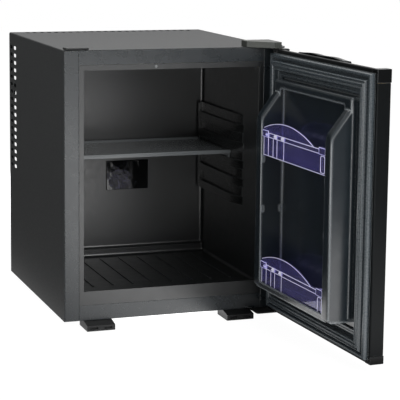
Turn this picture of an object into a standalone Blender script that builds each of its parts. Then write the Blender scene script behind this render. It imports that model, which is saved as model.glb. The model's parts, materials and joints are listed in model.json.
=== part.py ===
"""Display fridge: a small absorption minibar, standing with its door open.

Lengths are in metres. While it is modelled, x runs from the cabinet's left side to its right side, y runs
back from the cabinet's front plane and z runs up from the cabinet's underside. The door is modelled closed
and then turned about its hinge. At the end the whole fridge is moved so that it stands centred on the origin.
"""

import math

import bmesh
import bpy
import numpy
from mathutils import Matrix, Vector

# Clearance and stock
FIT = 0.0003
SHEET = 0.001
LINER_WALL = 0.002

# Cabinet
WIDTH = 0.402
DEPTH = 0.430
HEIGHT = 0.486
CORNER_RADIUS = 0.003
REAR_FLANGE = 0.008
REAR_BAY = 0.0917
REAR_INSULATION = 0.0333
PAN_FLANGE = 0.012

# Vent slots in the wrap and in the base pan
SIDE_SLOT = (0.020, 0.007)
SIDE_SLOT_COLUMNS = (0.019, 0.048)
SIDE_SLOT_ROWS = 17
SIDE_SLOT_PITCH = 0.0147
SIDE_SLOT_FIRST = 0.0275
TOP_SLOT = (0.0075, 0.020)
TOP_SLOTS = 24
TOP_SLOT_PITCH = 0.01465
PAN_SLOT = (0.022, 0.008)
PAN_SLOTS = 9
PAN_SLOT_PITCH = 0.036
SLOT_CHAMFER = 0.002

# Front frame
STILE_WIDTH = 0.027
TOP_RAIL = 0.026
BOTTOM_RAIL = 0.0275
CHANNEL_SHEET = 0.0012
CHANNEL_DEPTH = 0.010
STILE_CORNER_SHARE = 0.6

# Inner liner
LAND_SIDE = 0.009
LAND_TOP = 0.010
SILL_HEIGHT = 0.0255
LINER_RADIUS = 0.006
LIP_HEIGHT = 0.004
LIP_THICKNESS = 0.006
FLOOR_RIBS = 8
FLOOR_RIB_PITCH = 0.038
FLOOR_RIB_WIDTH = 0.0035
FLOOR_RIB_HEIGHT = 0.0016
FLOOR_RIB_FRONT = 0.050
GUTTER_WIDTH = 0.019
GUTTER_STEP = (0.010, 0.015)

# Shelf ladders on the side walls
LADDER_REACH = 0.012
LADDER_BASE = 0.006
LADDER_FRONT = 0.070
LADDER_RAMP = 0.038
LADDER_BASE_SETBACK = 0.004
LADDER_BOTTOM = 0.181
LADDER_RIBS = 5
LADDER_RIB_HEIGHT = 0.016
LADDER_PITCH = 0.0342
LADDER_POST = 0.010

# Shelf
SHELF_LEVEL = 2
SHELF_RISE = 0.0115
SHELF_PLATE = 0.003
SHELF_FRONT = 0.125
SHELF_SKIRT = 0.003
SHELF_LIP = (0.004, 0.0075)
SHELF_LIP_RISE = 0.0025
SHELF_LIP_ROUNDING = 0.001
SHELF_UPSTAND = (0.003, 0.004)

# Small pieces on the liner
COVER_SIZE = (0.086, 0.058)
COVER_CENTRE = (0.208, 0.2095)
COVER_THICKNESS = 0.0025
SENSOR_RADIUS = 0.0025
SENSOR_X = 0.169
SENSOR_LENGTH = 0.004

# Feet
FOOT_HEIGHT = 0.015
FRONT_FOOT_WIDTH = 0.052
FRONT_FOOT_INSET = 0.036
FRONT_FOOT_REACH = 0.023
FRONT_FOOT_LENGTH = 0.053
FRONT_FOOT_SLOPE = 0.004
FOOT_SLOT = (0.014, 0.0035)
FOOT_SLOT_DEPTH = 0.004
FOOT_ROUNDING = 0.0015
REAR_FOOT = (0.040, 0.040)
REAR_FOOT_INSET = 0.040

# Hinges
PIVOT_INSET = 0.007
PIVOT_FRONT = 0.025
PIN_RADIUS = 0.0025
PIN_HEAD_RADIUS = 0.005
PIN_HEAD = 0.0015
PIN_LENGTH = 0.013
PIN_CHAMFER = 0.0005
BUSH_BORE = 0.003
BUSH_RADIUS = 0.004
BUSH_FLANGE_RADIUS = 0.0065
BUSH_FLANGE = 0.0008
BUSH_LENGTH = 0.016
HINGE_PLATE = 0.003
PLATE_ROUNDING = 0.002
HINGE_ARM_RADIUS = 0.009
HINGE_PLATE_LENGTH = 0.059
HINGE_PLATE_BACK = 0.026
HINGE_COVER_HEIGHT = 0.011
HINGE_COVER_WALL = 0.0015
HINGE_COVER_LENGTH = 0.061
HINGE_COVER_BACK = 0.029
HINGE_COVER_NOSE = 0.014
HINGE_COVER_ROUNDING = 0.002
HINGE_COVER_EDGE = 0.0006
HINGE_GROOVES = 3
HINGE_GROOVE = (0.0018, 0.0006)
HINGE_GROOVE_PITCH = 0.0042
BOTTOM_PLATE_LENGTH = 0.046
BOTTOM_PLATE_BACK = 0.030
PLUG_SIZE = (0.042, 0.022, 0.004)
PLUG_INSET = (0.004, 0.002)
PLUG_ROUNDING = 0.0012

# Door
DOOR_LENGTH = 0.400
DOOR_THICKNESS = 0.025
DOOR_BOTTOM = 0.002
DOOR_TOP = 0.4845
DOOR_GAP = 0.015
DOOR_SHEET = 0.0014
DOOR_PANEL = 0.001
DOOR_FLANGE_OUTER = 0.010
DOOR_FLANGE_INNER = 0.0067
DOOR_EDGE_RADIUS = 0.003
DOOR_INNER_RADIUS = 0.0018
DOOR_TOP_FLAT = 0.007
DOOR_TOP_DROP = 0.0045
CAP_LENGTH = 0.018
CAP_TOP_HEIGHT = 0.022
CAP_BOTTOM_HEIGHT = 0.014
CAP_PROUD = 0.0004
CAP_ROUNDING = 0.0015
GRIP = (0.085, 0.262)
GRIP_DEPTH = (0.010, 0.024)
GRIP_RISE = 0.001
GRIP_ROUNDING = (0.0004, 0.0012)
GRIP_END = (0.006, 0.002, 0.004)
OPEN_ANGLE = math.radians(92.5)

# Gasket: section across the door's edge, as distance in from the edge and height on the door's inner face
GASKET_OUTER = 0.0072
GASKET_INNER = 0.037
GASKET_HEIGHT = 0.0147
GASKET_FOOT = 0.0026
GASKET_TOE = 0.003
GASKET_BULB = 0.016
GASKET_CREST = 0.007
GASKET_FALL = 0.002
GASKET_LIP = (0.0072, 0.010)
GASKET_ROUNDING = 0.003
GASKET_FOOT_ROUNDING = 0.0006

# Door liner
PLATEAU_INSET = 0.050
PLATEAU_BOTTOM = 0.064
PLATEAU_TOP = 0.435
PLATEAU_RISE = 0.019
PLATEAU_RADIUS = 0.005
RECESS_FLOOR = 0.011
RECESS_TOP = 0.421
RECESS_RADIUS = 0.003
DYKE_INSET = 0.051
DYKE_WIDTH = 0.024
DYKE_CREST = 0.054
DYKE_ROUNDING = 0.0065
DYKE_BOTTOM = 0.0625
DYKE_SLOPE_START = 0.372
DYKE_SLOPE_END = 0.416
DYKE_SLOPE_RADII = (0.020, 0.012)
LEDGE_RIM = 0.0115
LEDGE_RIM_WALL = 0.0037
LEDGE_ROUNDING = (0.001, 0.0015)
PEG_LEVELS = (0.296, 0.206)
PEG_SIZE = (0.0025, 0.004, 0.010)
PEG_RISES = (0.0150, 0.0495)

# Door guards
GUARD_WALL = 0.002
GUARD_FACE = 0.049
GUARD_FLOOR_RISE = 0.0027
GUARD_RAIL = (0.0365, 0.0445)
GUARD_RAIL_PROUD = 0.0015
GUARD_CREST = 0.0665
GUARD_CREST_ENDS = (0.052, 0.0445)
GUARD_CREST_SPAN = (0.002, 0.200)
GUARD_BLOCK = (0.024, 0.036, 0.048)
GUARD_WING_HEIGHT = 0.042
GUARD_WING_RIBS = (0.027, 0.035, 0.043)

# Absorption cooling unit in the rear bay
UNIT_PLANE = 0.046
VESSEL_RADIUS = 0.023
VESSEL_SPAN = (0.060, 0.262)
VESSEL_HEIGHT = 0.062
VESSEL_SADDLES = (0.095, 0.225)
VESSEL_ROUNDING = 0.004
SADDLE_SHARE = 0.7
STRAP_WIDTH = 0.012
BOILER_RADIUS = 0.024
BOILER_X = 0.332
BOILER_SPAN = (0.060, 0.330)
BOILER_NECK = 0.0108
BOILER_SHOULDER = 0.014
BOILER_CHAMFER = 0.003
COIL_RADIUS = 0.0065
COIL_SPAN = (0.072, 0.250)
COIL_RUNS = 5
COIL_BOTTOM = 0.120
COIL_PITCH = 0.040
COIL_BEND_SHARE = 0.45
EVAPORATOR_SIZE = (0.180, 0.060, 0.016)
EVAPORATOR_LEVEL = 0.365
EVAPORATOR_MARGIN = 0.010
EVAPORATOR_ROUNDING = 0.003
CONDENSER_RADIUS = 0.007
CONDENSER_HEIGHT = 0.430
CONDENSER_SPAN = (0.070, 0.300)
CONDENSER_FALL = 0.012
CONDENSER_BEND = 0.010
CONDENSER_ENTRY = 0.014
FINS = 14
FIN_PITCH = 0.0155
FIN_SIZE = (0.0012, 0.060, 0.050)
CONTROL_BOX_SIZE = (0.062, 0.02425, 0.050)
CONTROL_BOX_CENTRE = (0.332, 0.372)
CONTROL_BOX_ROUNDING = 0.002
INLET_SIZE = (0.012, 0.024, 0.022)
INLET_RECESS = (0.009, 0.0192, 0.016)

# Facets, and the share of a half width that a fully rounded end takes
ARC_STEPS = 3
COARSE_STEPS = 2
ROUND_STEPS = 20
BOILER_STEPS = 24
CREST_STEPS = 12
BEND_STEPS = 4
ROUND_SHARE = 0.98
WELD = 0.00001
MERGE = 0.0001

# Places that follow from the sizes
OPEN_LEFT = STILE_WIDTH + LAND_SIDE
OPEN_RIGHT = WIDTH - OPEN_LEFT
OPEN_TOP = HEIGHT - TOP_RAIL - LAND_TOP
OPEN_BOTTOM = BOTTOM_RAIL + SILL_HEIGHT
FLOOR = OPEN_BOTTOM - LIP_HEIGHT
FOAM_REAR = DEPTH - REAR_BAY
LINER_DEPTH = FOAM_REAR - REAR_INSULATION
BAY_FRONT = FOAM_REAR + SHEET + 2 * FIT
UNIT_Y = BAY_FRONT + UNIT_PLANE
LADDER_REAR = LINER_DEPTH - LINER_RADIUS
LADDER_TOP = LADDER_BOTTOM + LADDER_RIBS * LADDER_PITCH
SHELF_SEAT = LADDER_BOTTOM + SHELF_LEVEL * LADDER_PITCH + LADDER_RIB_HEIGHT + FIT
PIVOT_X = WIDTH - PIVOT_INSET
HINGE_TIP = PIVOT_FRONT + HINGE_ARM_RADIUS
HINGE_COVER_FRONT = HINGE_TIP + HINGE_COVER_WALL + 2 * FIT
EVAPORATOR_X = COIL_SPAN[1] + EVAPORATOR_MARGIN - EVAPORATOR_SIZE[0] / 2
LEDGE_TOP = DYKE_BOTTOM + LINER_WALL
CUT_THROUGH = 0.001

FINISHES = {
    "painted_steel": ((0.030, 0.031, 0.034), 0.45, 0.0),
    "frame_steel": ((0.045, 0.047, 0.052), 0.40, 0.0),
    "liner_plastic": ((0.085, 0.088, 0.090), 0.55, 0.0),
    "glossy_plastic": ((0.060, 0.062, 0.064), 0.12, 0.0),
    "black_plastic": ((0.012, 0.012, 0.013), 0.50, 0.0),
    "grey_plastic": ((0.230, 0.225, 0.205), 0.40, 0.0),
    "gasket_rubber": ((0.150, 0.155, 0.170), 0.60, 0.0),
    "foam": ((0.700, 0.620, 0.380), 0.90, 0.0),
    "zinc_steel": ((0.420, 0.430, 0.440), 0.35, 1.0),
    "black_tube": ((0.020, 0.020, 0.020), 0.50, 0.4),
    "aluminium": ((0.600, 0.610, 0.620), 0.35, 1.0),
    "violet_plastic": ((0.110, 0.090, 0.260), 0.15, 0.0),
    "white_nylon": ((0.800, 0.800, 0.780), 0.40, 0.0),
    "lens": ((0.500, 0.500, 0.480), 0.10, 0.0),
}

# How a prism drawn flat is turned so that it runs along each axis
PRISM_TURNS = {
    "X": Matrix(((0, 0, 1), (1, 0, 0), (0, 1, 0))),
    "Y": Matrix(((1, 0, 0), (0, 0, -1), (0, 1, 0))),
    "Z": Matrix.Identity(3),
}
AXIS_VECTORS = {"X": Vector((1, 0, 0)), "Y": Vector((0, 1, 0)), "Z": Vector((0, 0, 1))}


def clear_scene():
    """Remove what the scene holds."""
    for item in list(bpy.data.objects):
        bpy.data.objects.remove(item)


def new_collection(name):
    """Collection of that name, linked to the scene."""
    collection = bpy.data.collections.new(name)
    bpy.context.scene.collection.children.link(collection)
    return collection


clear_scene()
PARTS = new_collection("display_fridge")
CUTTERS = new_collection("display_fridge_cutters")


# Outlines

def rounded(corners, steps=ARC_STEPS):
    """Outline through corners (x, y, radius), each rounded by an arc of its radius."""
    outline = []
    for index, (x, y, radius) in enumerate(corners):
        corner = Vector((x, y))
        if radius == 0:
            outline.append(corner)
            continue
        before = (Vector(corners[index - 1][:2]) - corner).normalized()
        after = (Vector(corners[(index + 1) % len(corners)][:2]) - corner).normalized()
        half_angle = before.angle(after) / 2
        start = corner + before * radius / math.tan(half_angle)
        end = corner + after * radius / math.tan(half_angle)
        centre = corner + (before + after).normalized() * radius / math.sin(half_angle)
        for step in range(steps + 1):
            towards = start.lerp(end, step / steps) - centre
            outline.append(centre + towards.normalized() * radius)
    return outline


def rectangle(low, high, radius=0.0, steps=ARC_STEPS):
    """Rectangle between two corners, with rounded corners where a radius is given."""
    corners = ((low[0], low[1]), (high[0], low[1]), (high[0], high[1]), (low[0], high[1]))
    return rounded([(x, y, radius) for x, y in corners], steps)


def slot(x, y, size):
    """Outline of one vent slot about its centre."""
    half = (size[0] / 2, size[1] / 2)
    return rectangle((x - half[0], y - half[1]), (x + half[0], y + half[1]), SLOT_CHAMFER, 1)


def spread(centre, count, pitch):
    """Evenly spaced places about a centre."""
    return [centre + (index - (count - 1) / 2) * pitch for index in range(count)]


# Shapes

def new_object(name, mesh):
    """Object of a mesh, in the collection of parts."""
    part = bpy.data.objects.new(name, mesh)
    PARTS.objects.link(part)
    return part


def object_from_bmesh(name, shape):
    """Object of a bmesh shape, with its faces turned outwards."""
    bmesh.ops.recalc_face_normals(shape, faces=shape.faces)
    mesh = bpy.data.meshes.new(name)
    shape.to_mesh(mesh)
    shape.free()
    return new_object(name, mesh)


def box(name, low, high):
    """Box between two corners."""
    low = Vector(low)
    high = Vector(high)
    shape = bmesh.new()
    bmesh.ops.create_cube(shape, size=1)
    bmesh.ops.scale(shape, vec=high - low, verts=shape.verts)
    part = object_from_bmesh(name, shape)
    part.location = (low + high) / 2
    return part


def cylinder(name, centre, radius, length, axis="Z", steps=ROUND_STEPS):
    """Cylinder about its centre along an axis."""
    shape = bmesh.new()
    bmesh.ops.create_cone(shape, cap_ends=True, segments=steps, radius1=radius, radius2=radius, depth=length)
    part = object_from_bmesh(name, shape)
    part.matrix_world = Matrix.Translation(centre) @ PRISM_TURNS[axis].to_4x4()
    smooth(part)
    return part


def mesh_from_curve(name, guide):
    """Closed mesh object of a curve object, which it replaces."""
    graph = bpy.context.evaluated_depsgraph_get()
    mesh = bpy.data.meshes.new_from_object(guide.evaluated_get(graph))
    shape = bmesh.new()
    shape.from_mesh(mesh)
    bmesh.ops.remove_doubles(shape, verts=shape.verts, dist=WELD)
    bmesh.ops.recalc_face_normals(shape, faces=shape.faces)
    shape.to_mesh(mesh)
    shape.free()
    mesh.name = name
    part = new_object(name, mesh)
    part.matrix_world = guide.matrix_world
    bpy.data.objects.remove(guide)
    return part


def prism(name, outlines, low, high, axis):
    """Flat outlines carried from low to high along an axis; an outline inside another is a hole.

    Along X an outline is (y, z), along Y it is (x, z) and along Z it is (x, y).
    """
    curve = bpy.data.curves.new(name, "CURVE")
    curve.dimensions = "2D"
    curve.fill_mode = "BOTH"
    curve.extrude = (high - low) / 2
    for outline in outlines:
        spline = curve.splines.new("POLY")
        spline.points.add(len(outline) - 1)
        for point, (x, y) in zip(spline.points, outline):
            point.co = (x, y, 0, 1)
        spline.use_cyclic_u = True
    guide = bpy.data.objects.new(name + "_outline", curve)
    PARTS.objects.link(guide)
    middle = AXIS_VECTORS[axis] * (low + high) / 2
    guide.matrix_world = Matrix.Translation(middle) @ PRISM_TURNS[axis].to_4x4()
    return mesh_from_curve(name, guide)


def turned(name, profile, location, steps=ROUND_STEPS):
    """Shape turned about a vertical axis from (radius, height) points, outer side from top to bottom."""
    shape = bmesh.new()
    points = [shape.verts.new((radius, 0, height)) for radius, height in profile]
    for start, end in zip(points, points[1:]):
        shape.edges.new((start, end))
    if profile[0][0] > 0:
        shape.edges.new((points[-1], points[0]))
    part = object_from_bmesh(name, shape)
    part.location = location
    screw = part.modifiers.new("turn", "SCREW")
    screw.steps = steps
    screw.render_steps = steps
    screw.use_merge_vertices = True
    screw.merge_threshold = MERGE
    return part


def tube(name, points, radius):
    """Round tube along a list of points."""
    curve = bpy.data.curves.new(name, "CURVE")
    curve.dimensions = "3D"
    curve.bevel_depth = radius
    curve.bevel_resolution = 2
    curve.use_fill_caps = True
    spline = curve.splines.new("POLY")
    spline.points.add(len(points) - 1)
    for point, place in zip(spline.points, points):
        point.co = (*place, 1)
    guide = bpy.data.objects.new(name + "_path", curve)
    PARTS.objects.link(guide)
    part = mesh_from_curve(name, guide)
    smooth(part)
    return part


def bend(before, corner, after, radius):
    """Points of the arc that takes a tube round one corner of its route."""
    corner = Vector(corner)
    start_way = (Vector(before) - corner).normalized()
    end_way = (Vector(after) - corner).normalized()
    half_angle = start_way.angle(end_way) / 2
    start = corner + start_way * radius / math.tan(half_angle)
    end = corner + end_way * radius / math.tan(half_angle)
    centre = corner + (start_way + end_way).normalized() * radius / math.sin(half_angle)
    arc = []
    for step in range(BEND_STEPS + 1):
        towards = start.lerp(end, step / BEND_STEPS) - centre
        arc.append(centre + towards.normalized() * radius)
    return arc


def route(corners, radius):
    """Tube route through corners, with each inner corner bent to a radius."""
    points = [Vector(corners[0])]
    for before, corner, after in zip(corners, corners[1:], corners[2:]):
        points.extend(bend(before, corner, after, radius))
    points.append(Vector(corners[-1]))
    return points


def mitred_ring(name, section, low, high, face_y):
    """Closed section carried round a rectangle in the x-z plane, mitred at the four corners.

    A section point is (distance in from the rectangle's edge, height along +y from face_y).
    """
    shape = bmesh.new()
    rings = []
    for side_x, side_z in ((0, 0), (1, 0), (1, 1), (0, 1)):
        ring = []
        for inset, height in section:
            x = high[0] - inset if side_x else low[0] + inset
            z = high[1] - inset if side_z else low[1] + inset
            ring.append(shape.verts.new((x, face_y + height, z)))
        rings.append(ring)
    for index, ring in enumerate(rings):
        following = rings[(index + 1) % len(rings)]
        for place in range(len(section)):
            after = (place + 1) % len(section)
            shape.faces.new((ring[place], ring[after], following[after], following[place]))
    return object_from_bmesh(name, shape)


# Combining and finishing

def combine(part, others, operation):
    """Combine a part with other shapes in one step; they then follow it unseen."""
    group = bpy.data.collections.new(f"{part.name}_step_{len(part.modifiers)}")
    CUTTERS.children.link(group)
    for other in others:
        PARTS.objects.unlink(other)
        group.objects.link(other)
        other.hide_render = True
        other.display_type = "WIRE"
        other.parent = part
        other.matrix_parent_inverse = part.matrix_basis.inverted()
    modifier = part.modifiers.new(group.name, "BOOLEAN")
    modifier.operation = operation
    modifier.operand_type = "COLLECTION"
    modifier.collection = group


def cut(part, *cutters):
    """Take cutters away from a part."""
    combine(part, cutters, "DIFFERENCE")


def join(part, *pieces):
    """Fuse pieces into a part."""
    combine(part, pieces, "UNION")


def round_edges(part, width, segments=2, angle=50):
    """Round the edges that are sharper than an angle in degrees."""
    bevel = part.modifiers.new("round_edges", "BEVEL")
    bevel.width = width
    bevel.segments = segments
    bevel.limit_method = "ANGLE"
    bevel.angle_limit = math.radians(angle)


def smooth(part, angle=40):
    """Shade a round piece smooth, with its sharp edges kept."""
    part.data.shade_smooth()
    part.data.set_sharp_from_angle(angle=math.radians(angle))


def settle(part):
    """Fix a part's shape while it lies square to the axes, and drop the shapes that formed it."""
    graph = bpy.context.evaluated_depsgraph_get()
    mesh = bpy.data.meshes.new_from_object(part.evaluated_get(graph))
    mesh.name = part.name
    part.modifiers.clear()
    part.data = mesh
    for shape in part.children_recursive:
        bpy.data.objects.remove(shape)


def finish(part, name):
    """Settle a part's shape and give it its material."""
    settle(part)
    material = bpy.data.materials.get(name)
    if material is None:
        colour, roughness, metallic = FINISHES[name]
        material = bpy.data.materials.new(name)
        material.use_nodes = True
        shader = material.node_tree.nodes["Principled BSDF"]
        shader.inputs["Base Color"].default_value = (*colour, 1)
        shader.inputs["Roughness"].default_value = roughness
        shader.inputs["Metallic"].default_value = metallic
    part.data.materials.append(material)
    return part


# Cabinet

def make_outer_wrap():
    """Painted sheet bent over both sides and the top, with a narrow return round the open rear."""
    flange = REAR_FLANGE
    outside = rounded([
        (0, 0, 0), (0, HEIGHT, CORNER_RADIUS), (WIDTH, HEIGHT, CORNER_RADIUS), (WIDTH, 0, 0),
        (WIDTH - flange, 0, 0), (WIDTH - flange, HEIGHT - flange, 0),
        (flange, HEIGHT - flange, 0), (flange, 0, 0),
    ])
    bend_radius = CORNER_RADIUS - SHEET
    inside = rounded([
        (SHEET, -CUT_THROUGH, 0), (SHEET, HEIGHT - SHEET, bend_radius),
        (WIDTH - SHEET, HEIGHT - SHEET, bend_radius), (WIDTH - SHEET, -CUT_THROUGH, 0),
    ])
    side_slots = []
    for inset in SIDE_SLOT_COLUMNS:
        for row in range(SIDE_SLOT_ROWS):
            height = HEIGHT - SIDE_SLOT_FIRST - row * SIDE_SLOT_PITCH
            side_slots.append(slot(DEPTH - inset, height, SIDE_SLOT))
    top_slots = []
    for x in spread(WIDTH / 2, TOP_SLOTS, TOP_SLOT_PITCH):
        top_slots.append(slot(x, DEPTH - SIDE_SLOT_COLUMNS[0], TOP_SLOT))
    wrap = prism("outer_wrap", [outside], 0, DEPTH, "Y")
    cut(
        wrap,
        prism("wrap_inside", [inside], -CUT_THROUGH, DEPTH - SHEET, "Y"),
        prism("wrap_side_slots", side_slots, -CUT_THROUGH, WIDTH + CUT_THROUGH, "X"),
        prism("wrap_top_slots", top_slots, HEIGHT - 2 * SHEET, HEIGHT + CUT_THROUGH, "Z"),
    )
    return finish(wrap, "painted_steel")


def make_base_pan():
    """Bottom sheet with turned-up sides and air slots under the cooling unit."""
    left = SHEET + FIT
    right = WIDTH - SHEET - FIT
    section = [
        (left, PAN_FLANGE), (left, 0), (right, 0), (right, PAN_FLANGE), (right - SHEET, PAN_FLANGE),
        (right - SHEET, SHEET), (left + SHEET, SHEET), (left + SHEET, PAN_FLANGE),
    ]
    pan = prism("base_pan", [section], CHANNEL_DEPTH + FIT, DEPTH - SHEET - FIT, "Y")
    slots = [slot(x, DEPTH - REAR_BAY / 2, PAN_SLOT) for x in spread(WIDTH / 2, PAN_SLOTS, PAN_SLOT_PITCH)]
    cut(pan, prism("pan_slots", slots, -CUT_THROUGH, SHEET + CUT_THROUGH, "Z"))
    return finish(pan, "zinc_steel")


def channel(low, high):
    """Section of a front frame member: a face from low to high with a return at each side."""
    sheet = CHANNEL_SHEET
    return [
        (low, 0), (high, 0), (high, CHANNEL_DEPTH), (high - sheet, CHANNEL_DEPTH),
        (high - sheet, sheet), (low + sheet, sheet), (low + sheet, CHANNEL_DEPTH), (low, CHANNEL_DEPTH),
    ]


def make_front_frame():
    """Two full-height stiles with the rails between them."""
    top = HEIGHT - SHEET - FIT
    stiles = {
        "front_stile_left": (SHEET + FIT, STILE_WIDTH),
        "front_stile_right": (WIDTH - STILE_WIDTH, WIDTH - SHEET - FIT),
    }
    rails = {
        "front_rail_top": (HEIGHT - TOP_RAIL, top),
        "front_rail_bottom": (0, BOTTOM_RAIL),
    }
    chamfer = (CORNER_RADIUS - SHEET) * STILE_CORNER_SHARE
    past = CUT_THROUGH
    frame = []
    corners = (SHEET + FIT, WIDTH - SHEET - FIT)
    for (name, (low, high)), corner, way in zip(stiles.items(), corners, (1, -1)):
        stile = prism(name, [channel(low, high)], 0, top, "Z")
        wedge = [
            (corner - way * past, top + past), (corner + way * (chamfer + past), top + past),
            (corner - way * past, top - chamfer - past),
        ]
        cut(stile, prism(f"{name}_corner", [wedge], -past, CHANNEL_DEPTH + past, "Y"))
        frame.append(stile)
    for name, (low, high) in rails.items():
        section = [(y, z) for z, y in channel(low, high)]
        frame.append(prism(name, [section], STILE_WIDTH + FIT, WIDTH - STILE_WIDTH - FIT, "X"))
    return [finish(member, "frame_steel") for member in frame]


def tub_outline(margin):
    """Outline of the liner's tub seen from the front, grown by a margin."""
    low = (OPEN_LEFT - LINER_WALL - margin, FLOOR - LINER_WALL - margin)
    high = (OPEN_RIGHT + LINER_WALL + margin, OPEN_TOP + LINER_WALL + margin)
    return rectangle(low, high, LINER_RADIUS + LINER_WALL + margin)


def sensor_place():
    """Centre of the door sensor in the liner's top land, on the front plane."""
    return Vector((SENSOR_X, 0, OPEN_TOP + LAND_TOP / 2))


def make_inner_liner():
    """Vacuum-formed tub with a front flange, a sill lip, floor ribs and a step behind the gutter."""
    flange_low = (STILE_WIDTH + FIT, BOTTOM_RAIL + FIT)
    flange_high = (WIDTH - STILE_WIDTH - FIT, HEIGHT - TOP_RAIL - FIT)
    step_front = LINER_DEPTH - GUTTER_STEP[0]
    step_top = FLOOR + GUTTER_STEP[1]
    over_step = step_front - 3 * LINER_RADIUS
    cavity = box("liner_cavity", (OPEN_LEFT, LIP_THICKNESS, FLOOR), (OPEN_RIGHT, step_front, OPEN_TOP))
    rear_high = (OPEN_RIGHT, LINER_DEPTH, OPEN_TOP)
    rear_cavity = box("liner_rear_cavity", (OPEN_LEFT, over_step, step_top), rear_high)
    round_edges(cavity, LINER_RADIUS, 3)
    round_edges(rear_cavity, LINER_RADIUS, 3)
    mouth = rectangle((OPEN_LEFT, OPEN_BOTTOM), (OPEN_RIGHT, OPEN_TOP))
    rib_rear = step_front - GUTTER_WIDTH
    ribs = []
    for x in spread(WIDTH / 2, FLOOR_RIBS, FLOOR_RIB_PITCH):
        half = FLOOR_RIB_WIDTH / 2
        ends = ((x - half, FLOOR_RIB_FRONT), (x + half, rib_rear))
        ribs.append(rectangle(*ends, half * ROUND_SHARE, COARSE_STEPS))
    liner = prism("inner_liner", [tub_outline(0)], LINER_WALL / 2, LINER_DEPTH + LINER_WALL, "Y")
    join(liner, prism("liner_flange", [rectangle(flange_low, flange_high)], 0, LINER_WALL, "Y"))
    mouth_prism = prism("liner_mouth", [mouth], -CUT_THROUGH, LIP_THICKNESS + 2 * LINER_RADIUS, "Y")
    sensor_hole = cylinder("liner_sensor_hole", sensor_place(), SENSOR_RADIUS + FIT, 4 * LINER_WALL, "Y")
    cut(liner, cavity, rear_cavity, mouth_prism, sensor_hole)
    join(liner, prism("liner_floor_ribs", ribs, FLOOR - LINER_WALL / 2, FLOOR + FLOOR_RIB_HEIGHT, "Z"))
    return finish(liner, "liner_plastic")


def make_cabinet_foam():
    """Insulation between the wrap and the liner's tub."""
    side = 2 * (SHEET + FIT)
    low = (side, CHANNEL_DEPTH + FIT, SHEET + FIT)
    high = (WIDTH - side, FOAM_REAR, HEIGHT - SHEET - FIT)
    foam = box("cabinet_foam", low, high)
    cut(foam, prism("foam_pocket", [tub_outline(FIT)], 0, LINER_DEPTH + LINER_WALL + FIT, "Y"))
    return finish(foam, "foam")


def make_rear_closure():
    """Sheet that closes the insulation towards the open rear bay."""
    side = 2 * (SHEET + FIT)
    low = (side, FOAM_REAR + FIT, SHEET + FIT)
    high = (WIDTH - side, FOAM_REAR + FIT + SHEET, HEIGHT - SHEET - FIT)
    return finish(box("rear_closure_plate", low, high), "zinc_steel")


def make_shelf_ladder(name, wall, inward):
    """Moulded shelf rails on one side wall: ribs on a thinner base, ramped in front, with a post behind."""
    base_front = LADDER_FRONT + LADDER_BASE_SETBACK
    base_shoulder = LADDER_FRONT + LADDER_RAMP - LADDER_BASE_SETBACK / 2
    slope = (base_shoulder - base_front) / LADDER_BASE
    post_front = LADDER_REAR - LADDER_POST
    past = LADDER_REACH + CUT_THROUGH
    full = [
        (FIT, LADDER_FRONT), (LADDER_REACH, LADDER_FRONT + LADDER_RAMP),
        (LADDER_REACH, LADDER_REAR), (FIT, LADDER_REAR),
    ]
    groove = [
        (-CUT_THROUGH, base_front - slope * CUT_THROUGH), (-CUT_THROUGH, 0), (past, 0),
        (past, post_front), (LADDER_BASE, post_front), (LADDER_BASE, base_shoulder),
    ]
    full = [(wall + inward * reach, y) for reach, y in full]
    groove = [(wall + inward * reach, y) for reach, y in groove]
    ladder = prism(name, [full], LADDER_BOTTOM, LADDER_TOP, "Z")
    cutters = []
    for level in range(LADDER_RIBS):
        low = LADDER_BOTTOM + level * LADDER_PITCH + LADDER_RIB_HEIGHT
        high = LADDER_BOTTOM + (level + 1) * LADDER_PITCH
        if level == LADDER_RIBS - 1:
            high = LADDER_TOP + CUT_THROUGH
        cutters.append(prism(f"{name}_groove_{level}", [groove], low, high, "Z"))
    cut(ladder, *cutters)
    return finish(ladder, "liner_plastic")


def make_back_wall_cover():
    """Glossy cover on the liner's back wall."""
    rear = LINER_DEPTH - FIT
    low = (COVER_CENTRE[0] - COVER_SIZE[0] / 2, rear - COVER_THICKNESS, COVER_CENTRE[1] - COVER_SIZE[1] / 2)
    high = (COVER_CENTRE[0] + COVER_SIZE[0] / 2, rear, COVER_CENTRE[1] + COVER_SIZE[1] / 2)
    cover = box("back_wall_cover", low, high)
    round_edges(cover, COVER_THICKNESS / 3)
    return finish(cover, "glossy_plastic")


def make_door_sensor():
    """Small lens set flush in the liner's top land."""
    centre = sensor_place() + Vector((0, SENSOR_LENGTH / 2, 0))
    return finish(cylinder("door_sensor", centre, SENSOR_RADIUS, SENSOR_LENGTH, "Y"), "lens")


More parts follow.
